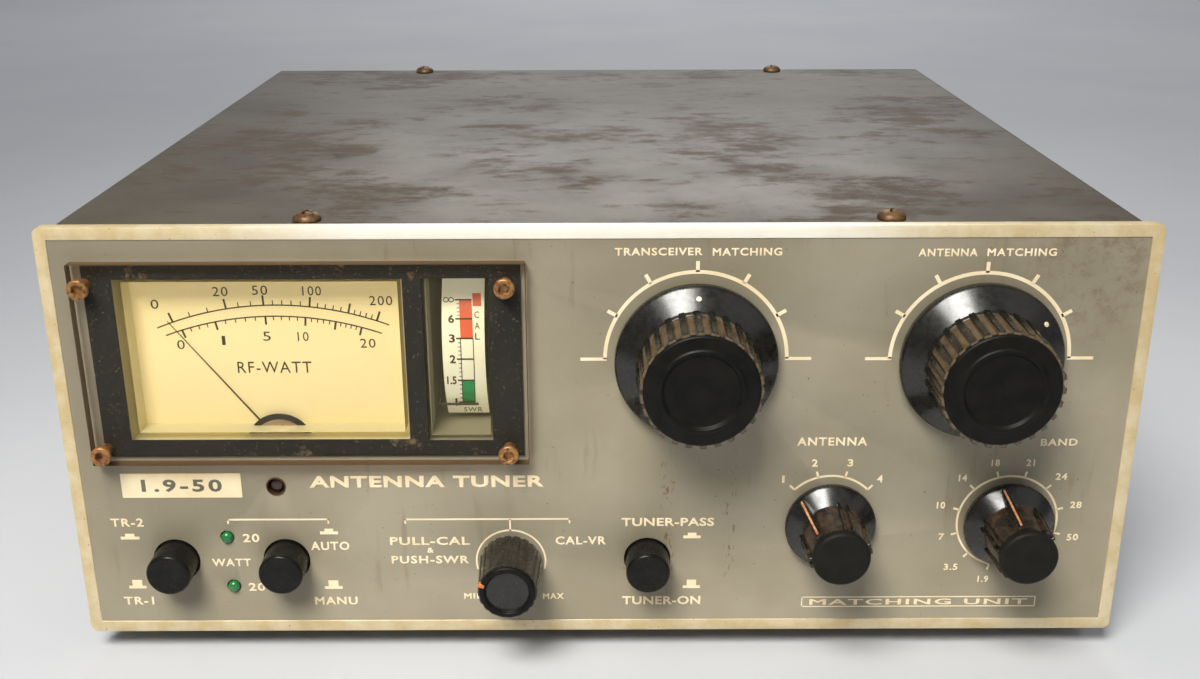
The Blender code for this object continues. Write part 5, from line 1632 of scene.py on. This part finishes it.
def fluted_grip(
    name: str, radius: float, groove: float, count: int, start: float, end: float,
    ridge: float = 0.5, taper: float = 1.0,
) -> Thing:
    """Extrudes a round grip with flutes.

    Args:
        name: The object's name.
        radius: Radius over the ridges at its foot.
        groove: Depth of the flutes.
        count: How many flutes.
        start: Height of its foot.
        end: Height of its front.
        ridge: Share of each pitch that the ridge takes.
        taper: Its width at the front as a share of that at its foot.

    Returns:
        The grip, standing on the Z axis.
    """
    parts = 8
    drop_selection()
    bpy.ops.mesh.primitive_circle_add(
        vertices=count * parts, radius=radius * MM, fill_type="NGON", location=(0, 0, start * MM)
    )
    grip = settle(named(name))
    with editing(grip, Mode.VERT):
        pick(grip, Mode.VERT, lambda v: v.index % parts >= parts * ridge)
        share = 1.0 - groove / radius
        bpy.ops.transform.resize(value=(share, share, 1.0), center_override=(0, 0, 0))
    with editing(grip, Mode.FACE):
        bpy.ops.mesh.select_all(action="SELECT")
        rise = (end - start) * MM
        bpy.ops.mesh.extrude_region_move(TRANSFORM_OT_translate={"value": (0, 0, rise)})
        bpy.ops.transform.resize(value=(taper, taper, 1.0), center_override=(0, 0, 0))
        bpy.ops.mesh.inset(thickness=0.25 * MM, depth=0.12 * MM)
        bpy.ops.mesh.select_all(action="SELECT")
        bpy.ops.mesh.normals_make_consistent(inside=False)
    return grip


@dataclass
class TuningKnob:
    """A large knob: glossy skirt with a white dot, fluted grip and a ringed front.

    Attributes:
        datum: The panel's middle.
        prefix: Start of its CAD names.
        body: The body it turns with.
        rest: Degrees it is turned clockwise at rest.
        grip: Radius over the grip's ridges.
        flutes: How many flutes the grip has.
        ring: Radius of the raised ring on its front.
        dot: Radius at which the white dot sits.
    """

    datum: Datum
    prefix: str
    body: str
    rest: float
    grip: float = 14.0
    flutes: int = 26
    ring: float = 9.0
    dot: float = 16.1

    def make(self, look: Look, face: Look, white: Look) -> None:
        """Makes the knob from its skirt, grip, front and dot."""
        node = self.prefix + "_knob"
        front, back = self.datum.depths(node)
        tall = back - front
        skirt = [(0.0, 6.4), (13.4, 6.4), (13.6, 5.7), (18.2, 2.2), (18.6, 1.7), (18.6, 0.0), (6.6, 0.0),
                 (6.6, 5.0), (0.0, 5.0)]
        cap = [(0.0, tall - 0.75), (self.ring - 0.8, tall - 0.75), (self.ring - 0.25, tall),
               (self.ring + 0.35, tall - 0.02), (self.ring + 0.8, tall - 0.42), (12.4, tall - 0.55),
               (12.8, tall - 0.95), (12.8, tall - 2.0), (0.0, tall - 2.0)]
        dot = turn_profile("dot", [(0, 0.18), (0.62, 0.12), (0.62, -0.4), (0, -0.4)], 24, 0.1)
        fall, run = 3.5, 4.6
        dot.rotation_euler = (-math.atan2(fall, run), 0, 0)
        dot.location = mm(0, self.dot, 5.7 - (self.dot - 13.6) * fall / run + 0.12)
        parts = [
            (turn_profile(self.prefix + "_skirt", skirt, 120, 0.5), 0),
            (fluted_grip(self.prefix + "_grip", self.grip, 0.95, self.flutes, 4.6, tall - 1.2, 0.5, 0.97), 0),
            (turn_profile(self.prefix + "_cap", cap, 104, 0.3), 1), (settle(dot), 2),
        ]
        knob = assemble(self.prefix + "_tuning_knob", parts, [look, face, white], SMOOTH_ANGLE)
        x, z = self.datum.centre(node)
        stand(knob, self.datum.at(x, back, z), Facing.FRONT, self.rest)
        install(knob, self.body, "knob_black", node)


@dataclass
class PointerKnob:
    """A switch knob: skirt, ribbed grip, matt round front and a pointed fin with a copper line.

    Attributes:
        datum: The panel's middle.
        prefix: Start of its CAD names.
        body: The body it turns with.
        rest: Degrees it is turned clockwise at rest.
        front: Radius of its front.
    """

    datum: Datum
    prefix: str
    body: str
    rest: float
    front: float = 6.6

    def make(self, look: Look, face: Look, line: Look) -> None:
        """Makes the knob from its skirt, grip, ribs, front and fin."""
        node = self.prefix + "_switch_knob"
        front, back = self.datum.depths(node)
        tall = back - front
        skirt = [(0.0, tall - 1.0), (6.2, tall - 1.0), (7.0, 4.6), (7.6, 4.1), (10.4, 1.7), (10.75, 1.3),
                 (10.75, 0.0), (6.0, 0.0), (6.0, 3.2), (0.0, 3.2)]
        cap = [(0.0, tall - 0.12), (3.0, tall), (self.front - 0.5, tall - 0.05), (self.front, tall - 0.6),
               (self.front, tall - 2.3), (0.0, tall - 2.3)]
        fin, stripe = self.fin(tall)
        parts = [
            (turn_profile(self.prefix + "_pointer_skirt", skirt, 80, 0.35), 0),
            (turn_profile(self.prefix + "_pointer_cap", cap, 72, 0.25), 1), (fin, 0), (stripe, 2),
        ]
        for middle in range(60, 360, 60):
            parts += [(self.rib(tall, middle + aside), 0) for aside in (-8.0, 8.0)]
        knob = assemble(self.prefix + "_pointer_knob", parts, [look, face, line], SMOOTH_ANGLE)
        x, z = self.datum.centre(self.prefix + "_switch_body")
        stand(knob, self.datum.at(x, back, z), Facing.FRONT, self.rest)
        install(knob, self.body, "knob_black", node)

    def rib(self, tall: float, turn: float) -> Thing:
        """Makes one rib of the grip, at degrees clockwise from the fin."""
        rib = add_block(self.prefix + "_rib", mm(-0.4, 5.2, 3.0), mm(0.4, 7.85, tall - 2.0), 0.25, 3)
        with editing(rib, Mode.VERT):
            pick(rib, Mode.VERT, lambda v: v.co.z > 8 * MM and v.co.y > 6.5 * MM)
            bpy.ops.transform.translate(value=mm(0, -0.55, 0))
        return stand(rib, Vector(), Facing.UP, turn)

    def fin(self, tall: float) -> tuple[Thing, Thing]:
        """Makes the fin that runs from the skirt's edge up to the front, and the line on its top."""
        fin = add_block(self.prefix + "_fin", mm(-0.95, 4.5, 1.2), mm(0.95, 10.7, tall - 2.2))
        with editing(fin, Mode.VERT):
            pick(fin, Mode.VERT, lambda v: v.co.z > 8 * MM and v.co.y > 8 * MM)
            bpy.ops.transform.translate(value=mm(0, -3.1, 0))
        with editing(fin, Mode.VERT):
            pick(fin, Mode.VERT, lambda v: v.co.z < 8 * MM and v.co.y > 8 * MM)
            bpy.ops.transform.translate(value=mm(0, 0, 1.4))
            bpy.ops.transform.resize(value=(0.7, 1, 1), center_override=(0, 0, 0))
        stripe = strut(self.prefix + "_fin_line", mm(0.0, 10.55, 2.9), mm(0.0, 7.72, tall - 2.4), 0.5, 0.5)
        return bevel_edges(fin, 0.25, 2), bevel_edges(stripe, 0.1, 1)


@dataclass
class CalKnob:
    """The small calibration knob: faintly faceted side, dished front in a rim and an orange mark.

    Attributes:
        datum: The panel's middle.
        rest: Degrees it is turned clockwise at rest.
        base: Radius at its foot.
    """

    datum: Datum
    rest: float = -72.0
    base: float = 7.5

    def make(self, look: Look, face: Look, mark: Look) -> None:
        """Makes the knob."""
        x, z = self.datum.centre("cal_potentiometer")
        front, back = self.datum.depths("cal_knob")
        tall = back - front
        dish = [(0.0, tall - 0.85), (5.0, tall - 0.8), (5.4, tall - 0.05), (5.9, tall), (6.5, tall - 0.25),
                (6.6, tall - 1.1), (0.0, tall - 1.2)]
        parts = [
            (fluted_grip("cal_side", self.base, 0.28, 20, 0.0, tall - 0.9, 0.62, 0.92), 0),
            (turn_profile("cal_dish", dish, 72, 0.25), 1),
            (add_block("cal_mark", mm(-0.5, 5.5, tall - 1.3), mm(0.5, 6.95, tall + 0.03), 0.2, 2), 2),
        ]
        knob = assemble("calibration_knob", parts, [look, face, mark], SMOOTH_ANGLE)
        stand(knob, self.datum.at(x, back, z), Facing.FRONT, self.rest)
        install(knob, "cal_control", "knob_black", "cal_knob")


@dataclass
class Small:
    """Turned pieces that sit in the panel: push buttons and lamps.

    Attributes:
        datum: The panel's middle.
    """

    datum: Datum

    def place(
        self, name: str, profile: Profile, sides: int, rounding: float, centre: str, look: Look
    ) -> Thing:
        """Turns a piece and sets it in the panel, about a CAD node's middle."""
        x, z = self.datum.centre(centre)
        thing = stand(turn_profile(name, profile, sides, rounding), self.datum.at(x, 0, z), Facing.FRONT)
        return dress(thing, look)

    def buttons(self, look: Look) -> None:
        """Makes the three push buttons, each with a slightly hollow end."""
        for name in ("transceiver", "watt", "tuner"):
            node = name + "_button"
            front, back = self.datum.depths(node)
            profile = [(0.0, -front - 0.35), (2.4, -front - 0.22), (4.3, -front - 0.02),
                       (4.75, -front - 0.06), (5.2, -front - 0.6), (5.25, -2.0), (1.8, -2.0), (1.8, -back),
                       (0.0, -back)]
            cap = self.place(name + "_push_cap", profile, 64, 0.3, node, look)
            install(soften(cap, SMOOTH_ANGLE), name + "_push", "button_black", node)

    def lamps(self, green: Look, red: Look, ring: Look) -> None:
        """Makes two green range lamps, and the dark red pilot lamp sunk in its ring."""
        for node in ("low_range_lamp", "high_range_lamp"):
            bulb = dome(1.4, 1.0) + [(1.4, -8.5), (0.0, -8.5)]
            lens = self.place(node + "_lens", bulb, 32, 0.0, node, green)
            install(soften(lens), "case", "green_lens", node)
        sunk = [(0.0, -0.55), (1.4, -0.9), (2.0, -1.6), (2.0, -8.5), (0.0, -8.5)]
        lens = self.place("pilot_lens", sunk, 32, 0.2, "pilot_lamp", red)
        install(soften(lens), "case", "red_lens", "pilot_lamp")
        band = [(2.05, 0.0), (2.28, 0.02), (2.28, -2.5), (2.05, -2.5), (2.05, 0.0)]
        install(soften(self.place("pilot_collar", band, 40, 0.08, "pilot_lamp", ring)), "case", "red_lens")


# The rear ----------------------------------------------------------------------------------------


@dataclass
class CoaxSocket:
    """A flanged coaxial socket with a threaded barrel, white insulator and slotted contact.

    Attributes:
        datum: The panel's middle.
        node: Its CAD node.
        looks: Finishes of the shell, the insulator, the contact and the screws.
        barrel: Radius over the thread.
        mouth: Radius of its bore.
        flange: Width of the square flange.
        rise: How far it stands out of the rear wall.
    """

    datum: Datum
    node: str
    looks: list[Look]
    barrel: float = 7.9
    mouth: float = 6.1
    flange: float = 25.4
    rise: float = 15.1

    def make(self) -> None:
        """Makes the socket's shell, insulator, contact and flange screws."""
        low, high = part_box(self.node)
        wall = self.datum.face_y + (self.datum.depths(self.node)[1] - self.rise) * MM
        foot = Vector(((low.x + high.x) / 2, wall, (low.z + high.z) / 2))
        half = self.flange / 2
        flange = add_block(self.node + "_plate", foot - mm(half, 0, half), foot + mm(half, 1.6, half))
        with editing(flange, Mode.EDGE):
            pick(flange, Mode.EDGE, runs_back)
            bpy.ops.mesh.bevel(offset=1.6 * MM, segments=4)
        bevel_edges(flange, 0.2, 1)
        turned = [(stand(self.shell(), foot, Facing.REAR), 0)]
        core = [(1.9, 9.2), (3.0, 9.3), (3.1, 10.1), (5.9, 10.1), (6.05, 9.6), (6.05, 8.8), (1.9, 8.8),
                (1.9, 9.2)]
        insulator = turn_profile(self.node + "_insulator", core, 40, 0.15)
        tube = [(1.15, 6.0), (1.15, 11.7), (1.4, 12.0), (1.85, 11.8), (1.95, 8.8), (1.95, 6.0), (1.15, 6.0)]
        contact = turn_profile(self.node + "_contact", tube, 32, 0.12)
        cut_slots(contact, (-3, -0.2, 10.4), (3, 0.2, 13), (0.0, 90.0))
        turned += [(stand(insulator, foot, Facing.REAR), 1), (stand(contact, foot, Facing.REAR), 2)]
        screws = [(self.screw(foot, across, up), 3) for across in (-1, 1) for up in (-1, 1)]
        whole = assemble(self.node + "_coax", [(flange, 0), *turned, *screws], self.looks)
        install(soften(whole, SMOOTH_ANGLE), "case", "socket_nickel", self.node)

    def shell(self) -> Thing:
        """Turns the threaded barrel and notches its mouth."""
        core = self.barrel - 0.5
        thread = []
        for top in (self.rise - 0.7 - index * 1.3 for index in range(8)):
            thread += [(self.barrel, top), (self.barrel, top - 0.25), (core, top - 0.75), (core, top - 0.95)]
        profile = [(0.0, 8.9), (self.mouth, 8.9), (self.mouth, self.rise - 0.3), (6.5, self.rise),
                   (7.5, self.rise), *thread, (7.4, 3.6), (7.9, 3.2), (8.9, 1.6), (8.9, 1.2), (0.0, 1.2)]
        shell = turn_profile(self.node + "_shell", profile, 56)
        return cut_slots(shell, (-9.0, -0.6, 14.0), (9.0, 0.6, 15.6), (45.0, 135.0))

    def screw(self, foot: Vector, across: int, up: int) -> Thing:
        """Makes one round-headed screw at a corner of the flange."""
        bulge = [(0.0, 1.5), (1.4, 1.3), (2.5, 0.3), (2.5, 0.0), (0.0, 0.0)]
        head = turn_profile("flange_screw", bulge, 28, 0.4)
        cut_slots(head, (-2.6, -0.28, 0.9), (2.6, 0.28, 2.0))
        place = foot + mm(across * 9.1, 1.6, up * 9.1)
        return stand(head, place, Facing.REAR, 25.0 * across + 10.0 * up)


@dataclass
class EarthTerminal:
    """The threaded earth stud with a washer, a hexagon nut and a wing nut.

    Attributes:
        datum: The panel's middle.
        rise: How far the stud stands out of the rear wall.
    """

    datum: Datum
    rise: float = 13.0

    def make(self, brass: Look) -> None:
        """Makes the terminal."""
        low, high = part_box("earth_terminal")
        wall = self.datum.depths("earth_terminal")[1] - self.rise
        thread = [(0.0, self.rise), (2.1, self.rise)]
        for top in (self.rise - 0.4 - index * 0.8 for index in range(12)):
            thread += [(2.5, top), (2.5, top - 0.2), (2.15, top - 0.55)]
        stud = turn_profile("earth_stud", thread + [(2.4, 2.8), (2.4, -7.0), (0.0, -7.0)], 28)
        washer = turn_profile("washer", [(0, 0.8), (5.6, 0.8), (5.6, 0.0), (0, 0.0)], 40, 0.15)
        nut = stand(bevel_edges(add_rod("earth_nut", 4.6, 3.2, 6), 0.3, 2), mm(0, 0, 0.8), Facing.UP, 15.0)
        hub = [(0, 9.6), (3.0, 9.6), (4.2, 5.2), (4.2, 4.2), (0, 4.2)]
        boss = turn_profile("wing_boss", hub, 32, 0.5)
        wings = [
            add_block("wing", mm(near, -0.8, 5.4), mm(far, 0.8, 11.6), 0.6, 3)
            for near, far in ((-8.2, -3.0), (3.0, 8.2))
        ]
        whole = gather("earth_post", [stud, washer, nut, boss, *wings])
        place = Vector(((low.x + high.x) / 2, self.datum.face_y + wall * MM, (low.z + high.z) / 2))
        stand(whole, place, Facing.REAR, 30.0)
        install(soften(dress(whole, brass), SMOOTH_ANGLE), "case", "terminal_brass", "earth_terminal")


@dataclass
class RearPrint:
    """Dark legends over the sockets on the rear wall."""

    datum: Datum

    def make(self, ink: Look) -> None:
        """Prints the names of the sockets and of the earth terminal."""
        sheet = PrintSheet("rear_print")
        for group, count, word in (("antenna", 4, "ANT-"), ("transceiver", 2, "TR-")):
            for index in range(count):
                x, z = self.datum.centre("%s_socket_%d" % (group, index + 1))
                half = 5.2 if group == "antenna" else 4.2
                sheet.word(word + str(index + 1), -x - half, -x + half, z + 15.4, z + 18.0, 0.01)
        x, z = self.datum.centre("earth_terminal")
        sheet.word("GND", -x - 4.0, -x + 4.0, z + 9.0, z + 11.6, 0.01)
        wall = self.datum.depths("chassis")[1]
        turn = Matrix.Rotation(math.pi, 4, "Z") @ Matrix.Rotation(math.pi / 2, 4, "X")
        legends = sheet.make()
        legends.matrix_world = Matrix.Translation(self.datum.at(0, wall, 0)) @ turn
        install(dress(settle(legends), ink), "case", "zinc_plate")


# Inner parts and the studio ----------------------------------------------------------------------


@dataclass
class InnerParts:
    """The CAD nodes inside the case that keep their shapes, with finishes of their own."""

    nodes: dict[str, Thing]

    def make(self, looks: Looks) -> None:
        """Dresses every node that nothing else stands for."""
        groups = {
            "chassis": "zinc", "cal_potentiometer": "zinc", "watt_meter_base": "moulding",
            "cal_plunger": "moulding", "circuit_board": "board", "tuning_coil": "coil",
            "capacitor": "aluminium", "button_switch": "moulding", "switch_body": "board",
        }
        for name, thing in self.nodes.items():
            if thing.hide_render:
                continue
            look = next((value for key, value in groups.items() if key in name), "steel")
            dress(thing, looks[look])
            log.info("%s dressed in %s", name, look)


@dataclass
class Studio:
    """Pale floor, soft lights and the camera.

    Attributes:
        datum: The panel's middle.
        eye: The camera's place in millimetres: x, depth and z.
        pitch: How far it looks down, in radians.
        yaw: How far it is turned to the left.
        roll: How far it leans.
        lens: Focal length in millimetres.
    """

    datum: Datum
    eye: tuple[float, float, float] = (-0.26, -283.4, 127.6)
    pitch: float = 0.3482
    yaw: float = -0.0012
    roll: float = 0.0028
    lens: float = 39.93

    def make(self, cloth: Look) -> None:
        """Sets the floor, the lights, the surroundings and the camera."""
        drop_selection()
        bpy.ops.mesh.primitive_plane_add(size=24.0, location=(0, 0, -0.0004))
        floor = settle(named("floor"))
        dress(floor, cloth)
        self.light("key", (-0.22, -0.66, 0.8), 0.42, 1.95, (1.0, 0.98, 0.93), 62.0)
        self.light("fill", (0.9, -0.7, 0.7), 0.9, 1.0, (0.97, 0.98, 1.0))
        self.light("back", (0.1, 1.7, 1.3), 1.2, 15.0, (1.0, 1.0, 1.0))
        world = bpy.data.worlds.new("soft_room")
        world.use_nodes = True
        shade = world.node_tree.nodes["Background"]
        shade.inputs["Color"].default_value = linear((226, 228, 236))
        shade.inputs["Strength"].default_value = 0.24
        bpy.context.scene.world = world
        bpy.context.scene.view_settings.view_transform = "Standard"
        self.camera()

    def light(
        self, name: str, place: tuple[float, float, float], size: float, power: float,
        colour: tuple[float, float, float], spread: float = 180.0,
    ) -> None:
        """Adds one square soft light that looks at the unit, with its beam's width in degrees."""
        drop_selection()
        bpy.ops.object.light_add(type="AREA", location=place)
        lamp = bpy.context.object
        lamp.name = name + "_light"
        lamp.data.size = size
        lamp.data.energy = power
        lamp.data.color = colour
        lamp.data.spread = math.radians(spread)
        way = Vector((0.0, -0.08, 0.0)) - Vector(place)
        lamp.rotation_euler = way.to_track_quat("-Z", "Y").to_euler()

    def camera(self) -> None:
        """Adds the camera."""
        drop_selection()
        bpy.ops.object.camera_add(location=(0, 0, 0))
        camera = bpy.context.object
        camera.name = "camera"
        turn = (
            Matrix.Rotation(self.yaw, 4, "Z")
            @ Matrix.Rotation(-self.pitch, 4, "X")
            @ Matrix.Rotation(self.roll, 4, "Y")
            @ Matrix.Rotation(math.pi / 2, 4, "X")
        )
        camera.matrix_world = Matrix.Translation(self.datum.at(*self.eye)) @ turn
        camera.data.lens = self.lens
        camera.data.sensor_width = 36.0
        camera.data.clip_start = 0.01
        bpy.context.scene.camera = camera


def looks_of(datum: Datum) -> Looks:
    """Makes the finishes that the pieces share, by name."""
    corner = tuple(datum.at(125.0, 0, 46.0))
    finishes = [
        PanelPaint("panel_enamel", (154, 145, 124), (141, 132, 110), (104, 80, 50), 0.74, 7.0, 0.735, 1.0,
                   0.42, 0.08, 0.0, 0.4, 0.006, 34.0, corner=corner),
        # The champagne border carries a painted highlight along the middle of its upper side.
        WornBorder("champagne_border", (216, 200, 164), (202, 180, 134), (176, 128, 72), 0.64, 7.0, 0.68, 0.8,
                   0.4, 0.1, 0.2, 0.3, 0.01, 5.0, top=datum.at(0, 0, 51.2).z),
        RustedSheet("cover_sheet_steel", (88, 82, 70), (68, 61, 48), (42, 31, 20), 0.66, 8.0, 0.7, 0.8,
                    0.46, 0.1, 0.25, 0.3, 0.01, 50.0),
        Finish("dome_brass", (126, 96, 60), (88, 62, 38), (58, 38, 24), 0.55, 2.0, 1.0, 0.8,
               0.5, 0.15, 0.5, 0.3, 0.04, 2.0),
        Finish("legend_cream", (246, 230, 196), (236, 214, 172), (196, 150, 100), 0.7, 4.0, 1.0, 0.8,
               0.55, 0.05, 0.0, 0.4, 0.004, 8.0),
        Finish("plate_cream", (236, 220, 182), (226, 206, 164), grain_depth=0.004, rough=0.5),
        Finish("plate_letters", (104, 102, 88), (92, 90, 76), grain_depth=0.002),
        Finish("mask_black", (26, 27, 24), (32, 32, 28), (122, 104, 78), 0.6, 9.0, 0.66, 0.5,
               0.5, 0.1, 0.0, 0.4, 0.004, 14.0, shine=0.25),
        Finish("socket_head_copper", (176, 128, 74), (122, 84, 50), (66, 44, 30), 0.56, 1.0, 1.0, 0.8,
               0.38, 0.12, 0.45, 0.3, 0.03, 1.0),
        # The watt meter dial's glow is painted light: the dial is no lamp.
        Finish("dial_yellow", (248, 228, 174), (246, 225, 168), (226, 206, 140), 0.76, 6.0, 0.8, 0.6,
               0.5, 0.05, 0.0, 0.4, 0.002, 20.0, glow=0.22),
        # The edgewise meter scale's glow is painted light.
        Finish("ratio_cream", (252, 248, 224), (248, 242, 208), grain_depth=0.002, rough=0.5, glow=0.22),
        Finish("scale_ink", (58, 54, 32), (66, 60, 38), rough=0.5, grain_depth=0.001),
        # The red and green bands' glow is painted light.
        Finish("band_red", (232, 104, 62), (222, 90, 54), rough=0.5, grain_depth=0.001, glow=0.2),
        Finish("band_green", (28, 158, 88), (24, 144, 78), rough=0.5, grain_depth=0.001, glow=0.15),
        Finish("pole_enamel", (26, 25, 21), (40, 34, 28), rough=0.35, grain_depth=0.01),
        Finish("pole_copper", (214, 194, 164), (176, 120, 84), rough=0.3, metallic=0.7, grain_depth=0.01),
        Finish("button_gloss", (18, 18, 17), (26, 25, 22), (80, 70, 56), 0.72, 3.0, 0.74, 0.4,
               0.26, 0.1, 0.0, 0.3, 0.004, 3.0, 0.04, 0.15),
        Finish("front_black", (15, 15, 13), (23, 22, 19), (64, 56, 44), 0.72, 5.0, 0.73, 0.5,
               0.4, 0.12, 0.0, 0.3, 0.008, 4.0, shine=0.12),
        Finish("front_matt", (22, 22, 19), (28, 27, 23), (66, 58, 46), 0.74, 4.0, 0.75, 0.4,
               0.55, 0.08, 0.0, 0.25, 0.012, 4.0, shine=0.14),
        Finish("dot_white", (240, 228, 204), (214, 190, 150), grain_depth=0.01),
        Finish("line_copper", (232, 176, 130), (190, 112, 66), (90, 60, 36), 0.62, 1.2, rough=0.4,
               metallic=0.2, tone_size=1.5),
        Finish("mark_orange", (226, 138, 62), (200, 110, 44), grain_depth=0.01),
        Finish("lamp_green", (30, 118, 58), (20, 92, 46), rough=0.22, grain_depth=0.004, coat=0.5),
        Finish("lamp_red", (54, 22, 14), (34, 16, 11), rough=0.3, grain_depth=0.01, coat=0.4),
        Finish("lamp_collar", (96, 66, 44), (66, 40, 26), rough=0.5, metallic=0.3),
        Finish("nickel_plate", (176, 172, 160), (140, 132, 116), (112, 86, 58), 0.64, 4.0, 0.7, 0.6,
               0.34, 0.12, 0.85, 0.3, 0.006, 5.0),
        Finish("insulator_white", (226, 220, 200), (212, 202, 176), rough=0.4),
        Finish("gilt_contact", (196, 160, 92), (168, 132, 74), rough=0.3, metallic=0.9),
        Finish("steel_screw", (150, 146, 136), (116, 104, 86), (96, 70, 46), 0.6, 1.5, rough=0.4,
               metallic=0.8),
        Finish("terminal_brass_old", (172, 140, 84), (128, 96, 56), (84, 60, 38), 0.6, 3.0, rough=0.38,
               metallic=0.85, tone_size=4.0),
        Finish("rubber_black", (30, 29, 27), (40, 38, 34), rough=0.75, grain_depth=0.02, grain=0.5,
               shine=0.3),
        Finish("zinc_sheet", (158, 156, 148), (134, 130, 118), (112, 88, 60), 0.66, 10.0, 0.72, 0.8,
               0.42, 0.1, 0.7, 0.4, 0.006, 16.0),
        Finish("aluminium_sheet", (170, 170, 166), (150, 150, 146), rough=0.36, metallic=0.85),
        Finish("black_moulding_plain", (24, 24, 22), (32, 31, 28), rough=0.5, shine=0.3),
        Finish("turned_steel", (158, 154, 146), (128, 122, 112), rough=0.35, metallic=0.85),
        Finish("board_laminate", (140, 104, 52), (122, 88, 44), (92, 66, 36), 0.64, 6.0, rough=0.5),
        Finish("coil_copper_wire", (176, 104, 58), (142, 78, 42), rough=0.35, metallic=0.7),
        Finish("rear_ink", (44, 42, 38), (54, 50, 44), rough=0.55, grain_depth=0.002),
        Finish("floor_cloth", (202, 203, 206), (196, 198, 202), rough=0.85, grain=1.5, grain_depth=0.02,
               tone_size=260.0),
        Pane("window_clear", (255, 254, 253), (190, 180, 156), 0.006, 0.3, 0.2, 0.06),
        Pane("window_rim", (190, 164, 126), (104, 80, 54), 0.4, 0.5, 0.3, 0.3),
        Pane("case_clear", (255, 255, 252), (238, 228, 186), 0.006, 0.3, 0.03, 0.06),
        Pane("case_wall", (250, 246, 222), (246, 238, 196), 0.75, 0.3, 0.05, 0.15),
        Pane("ratio_wall", (240, 236, 220), (206, 198, 168), 0.6, 0.3, 0.1, 0.2),
    ]
    return {finish.name: finish.make() for finish in finishes}


def phenolic(
    datum: Datum, name: str, axis: str, knob: str, ends: tuple[float, float], **more: object
) -> Look:
    """Makes the black moulding of one knob.

    Args:
        datum: The panel's middle.
        name: Start of the material's name.
        axis: CAD node on whose axis the knob turns.
        knob: The knob's CAD node.
        ends: How far inside the knob's front and back the grip starts and ends, in millimetres.
        more: The grime's radii, colour and strength.

    Returns:
        The material.
    """
    x, z = datum.centre(axis)
    front, back = (datum.face_y + depth * MM for depth in datum.depths(knob))
    return Phenolic(
        name + "_phenolic", (17, 16, 14), (28, 26, 21), (76, 62, 44), 0.76, 3.0, 0.75, 0.4, 0.27, 0.14,
        0.0, 0.3, 0.004, 3.0, 0.2, axis=tuple(datum.at(x, 0, z)), front=front + ends[0] * MM,
        back=back - ends[1] * MM, **more,
    ).make()


def main() -> None:
    """Builds the antenna tuner round the loaded frame."""
    logging.basicConfig(level=logging.INFO, format="%(message)s")
    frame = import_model()
    low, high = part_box("front_panel")
    datum = Datum(low.y, (low.z + high.z) / 2)
    looks = looks_of(datum)
    FrontPanel(datum).make(looks["panel_enamel"], looks["champagne_border"])
    Cover().make(looks["cover_sheet_steel"], looks["dome_brass"])
    Feet().make(looks["rubber_black"], looks["steel_screw"])
    PanelPrint(datum).make(looks["legend_cream"], looks["plate_cream"], looks["plate_letters"])
    MeterWindow(datum).make(
        looks["window_clear"], looks["window_rim"], looks["mask_black"], looks["socket_head_copper"]
    )
    meter = {
        "clear": "case_clear", "wall": "case_wall", "dial": "dial_yellow", "cream": "ratio_cream",
        "dull wall": "ratio_wall", "ink": "scale_ink", "enamel": "pole_enamel", "copper": "pole_copper",
        "red": "band_red", "green": "band_green",
    }
    meter_looks = {part: looks[name] for part, name in meter.items()}
    WattMeter(datum).make(meter_looks)
    RatioMeter(datum).make(meter_looks)
    for prefix, body, rest in (
        ("transceiver", "transceiver_tuning", 0.0), ("matching", "antenna_tuning", 52.0),
    ):
        knob = prefix + "_knob"
        black = phenolic(
            datum, prefix, knob, knob, (0.0, 4.0), ridge=13.5, groove=13.2, grimed=0.7, bare=0.26
        )
        TuningKnob(datum, prefix, body, rest).make(black, looks["front_black"], looks["dot_white"])
    for prefix, body, rest in (("antenna", "antenna_selector", -45.0), ("band", "band_selector", -15.0)):
        black = phenolic(
            datum, prefix, prefix + "_switch_body", prefix + "_switch_knob", (1.5, 3.0), ridge=7.5,
            groove=7.0, grime=(92, 64, 42), grimed=0.6,
        )
        PointerKnob(datum, prefix, body, rest).make(black, looks["front_matt"], looks["line_copper"])
    black = phenolic(
        datum, "calibration", "cal_potentiometer", "cal_knob", (0.0, 0.0), ridge=7.2, groove=6.9, grimed=0.12
    )
    CalKnob(datum).make(black, looks["front_black"], looks["mark_orange"])
    small = Small(datum)
    small.buttons(looks["button_gloss"])
    small.lamps(looks["lamp_green"], looks["lamp_red"], looks["lamp_collar"])
    rear = [looks[name] for name in ("nickel_plate", "insulator_white", "gilt_contact", "steel_screw")]
    for group, count in (("antenna", 4), ("transceiver", 2)):
        for number in range(1, count + 1):
            CoaxSocket(datum, f"{group}_socket_{number}", rear).make()
    EarthTerminal(datum).make(looks["terminal_brass_old"])
    RearPrint(datum).make(looks["rear_ink"])
    inner = {
        "zinc": "zinc_sheet", "moulding": "black_moulding_plain", "steel": "turned_steel",
        "board": "board_laminate", "coil": "coil_copper_wire", "aluminium": "aluminium_sheet",
    }
    InnerParts(frame["nodes"]).make({part: looks[name] for part, name in inner.items()})
    Studio(datum).make(looks["floor_cloth"])


if __name__ == "__main__":
    main()
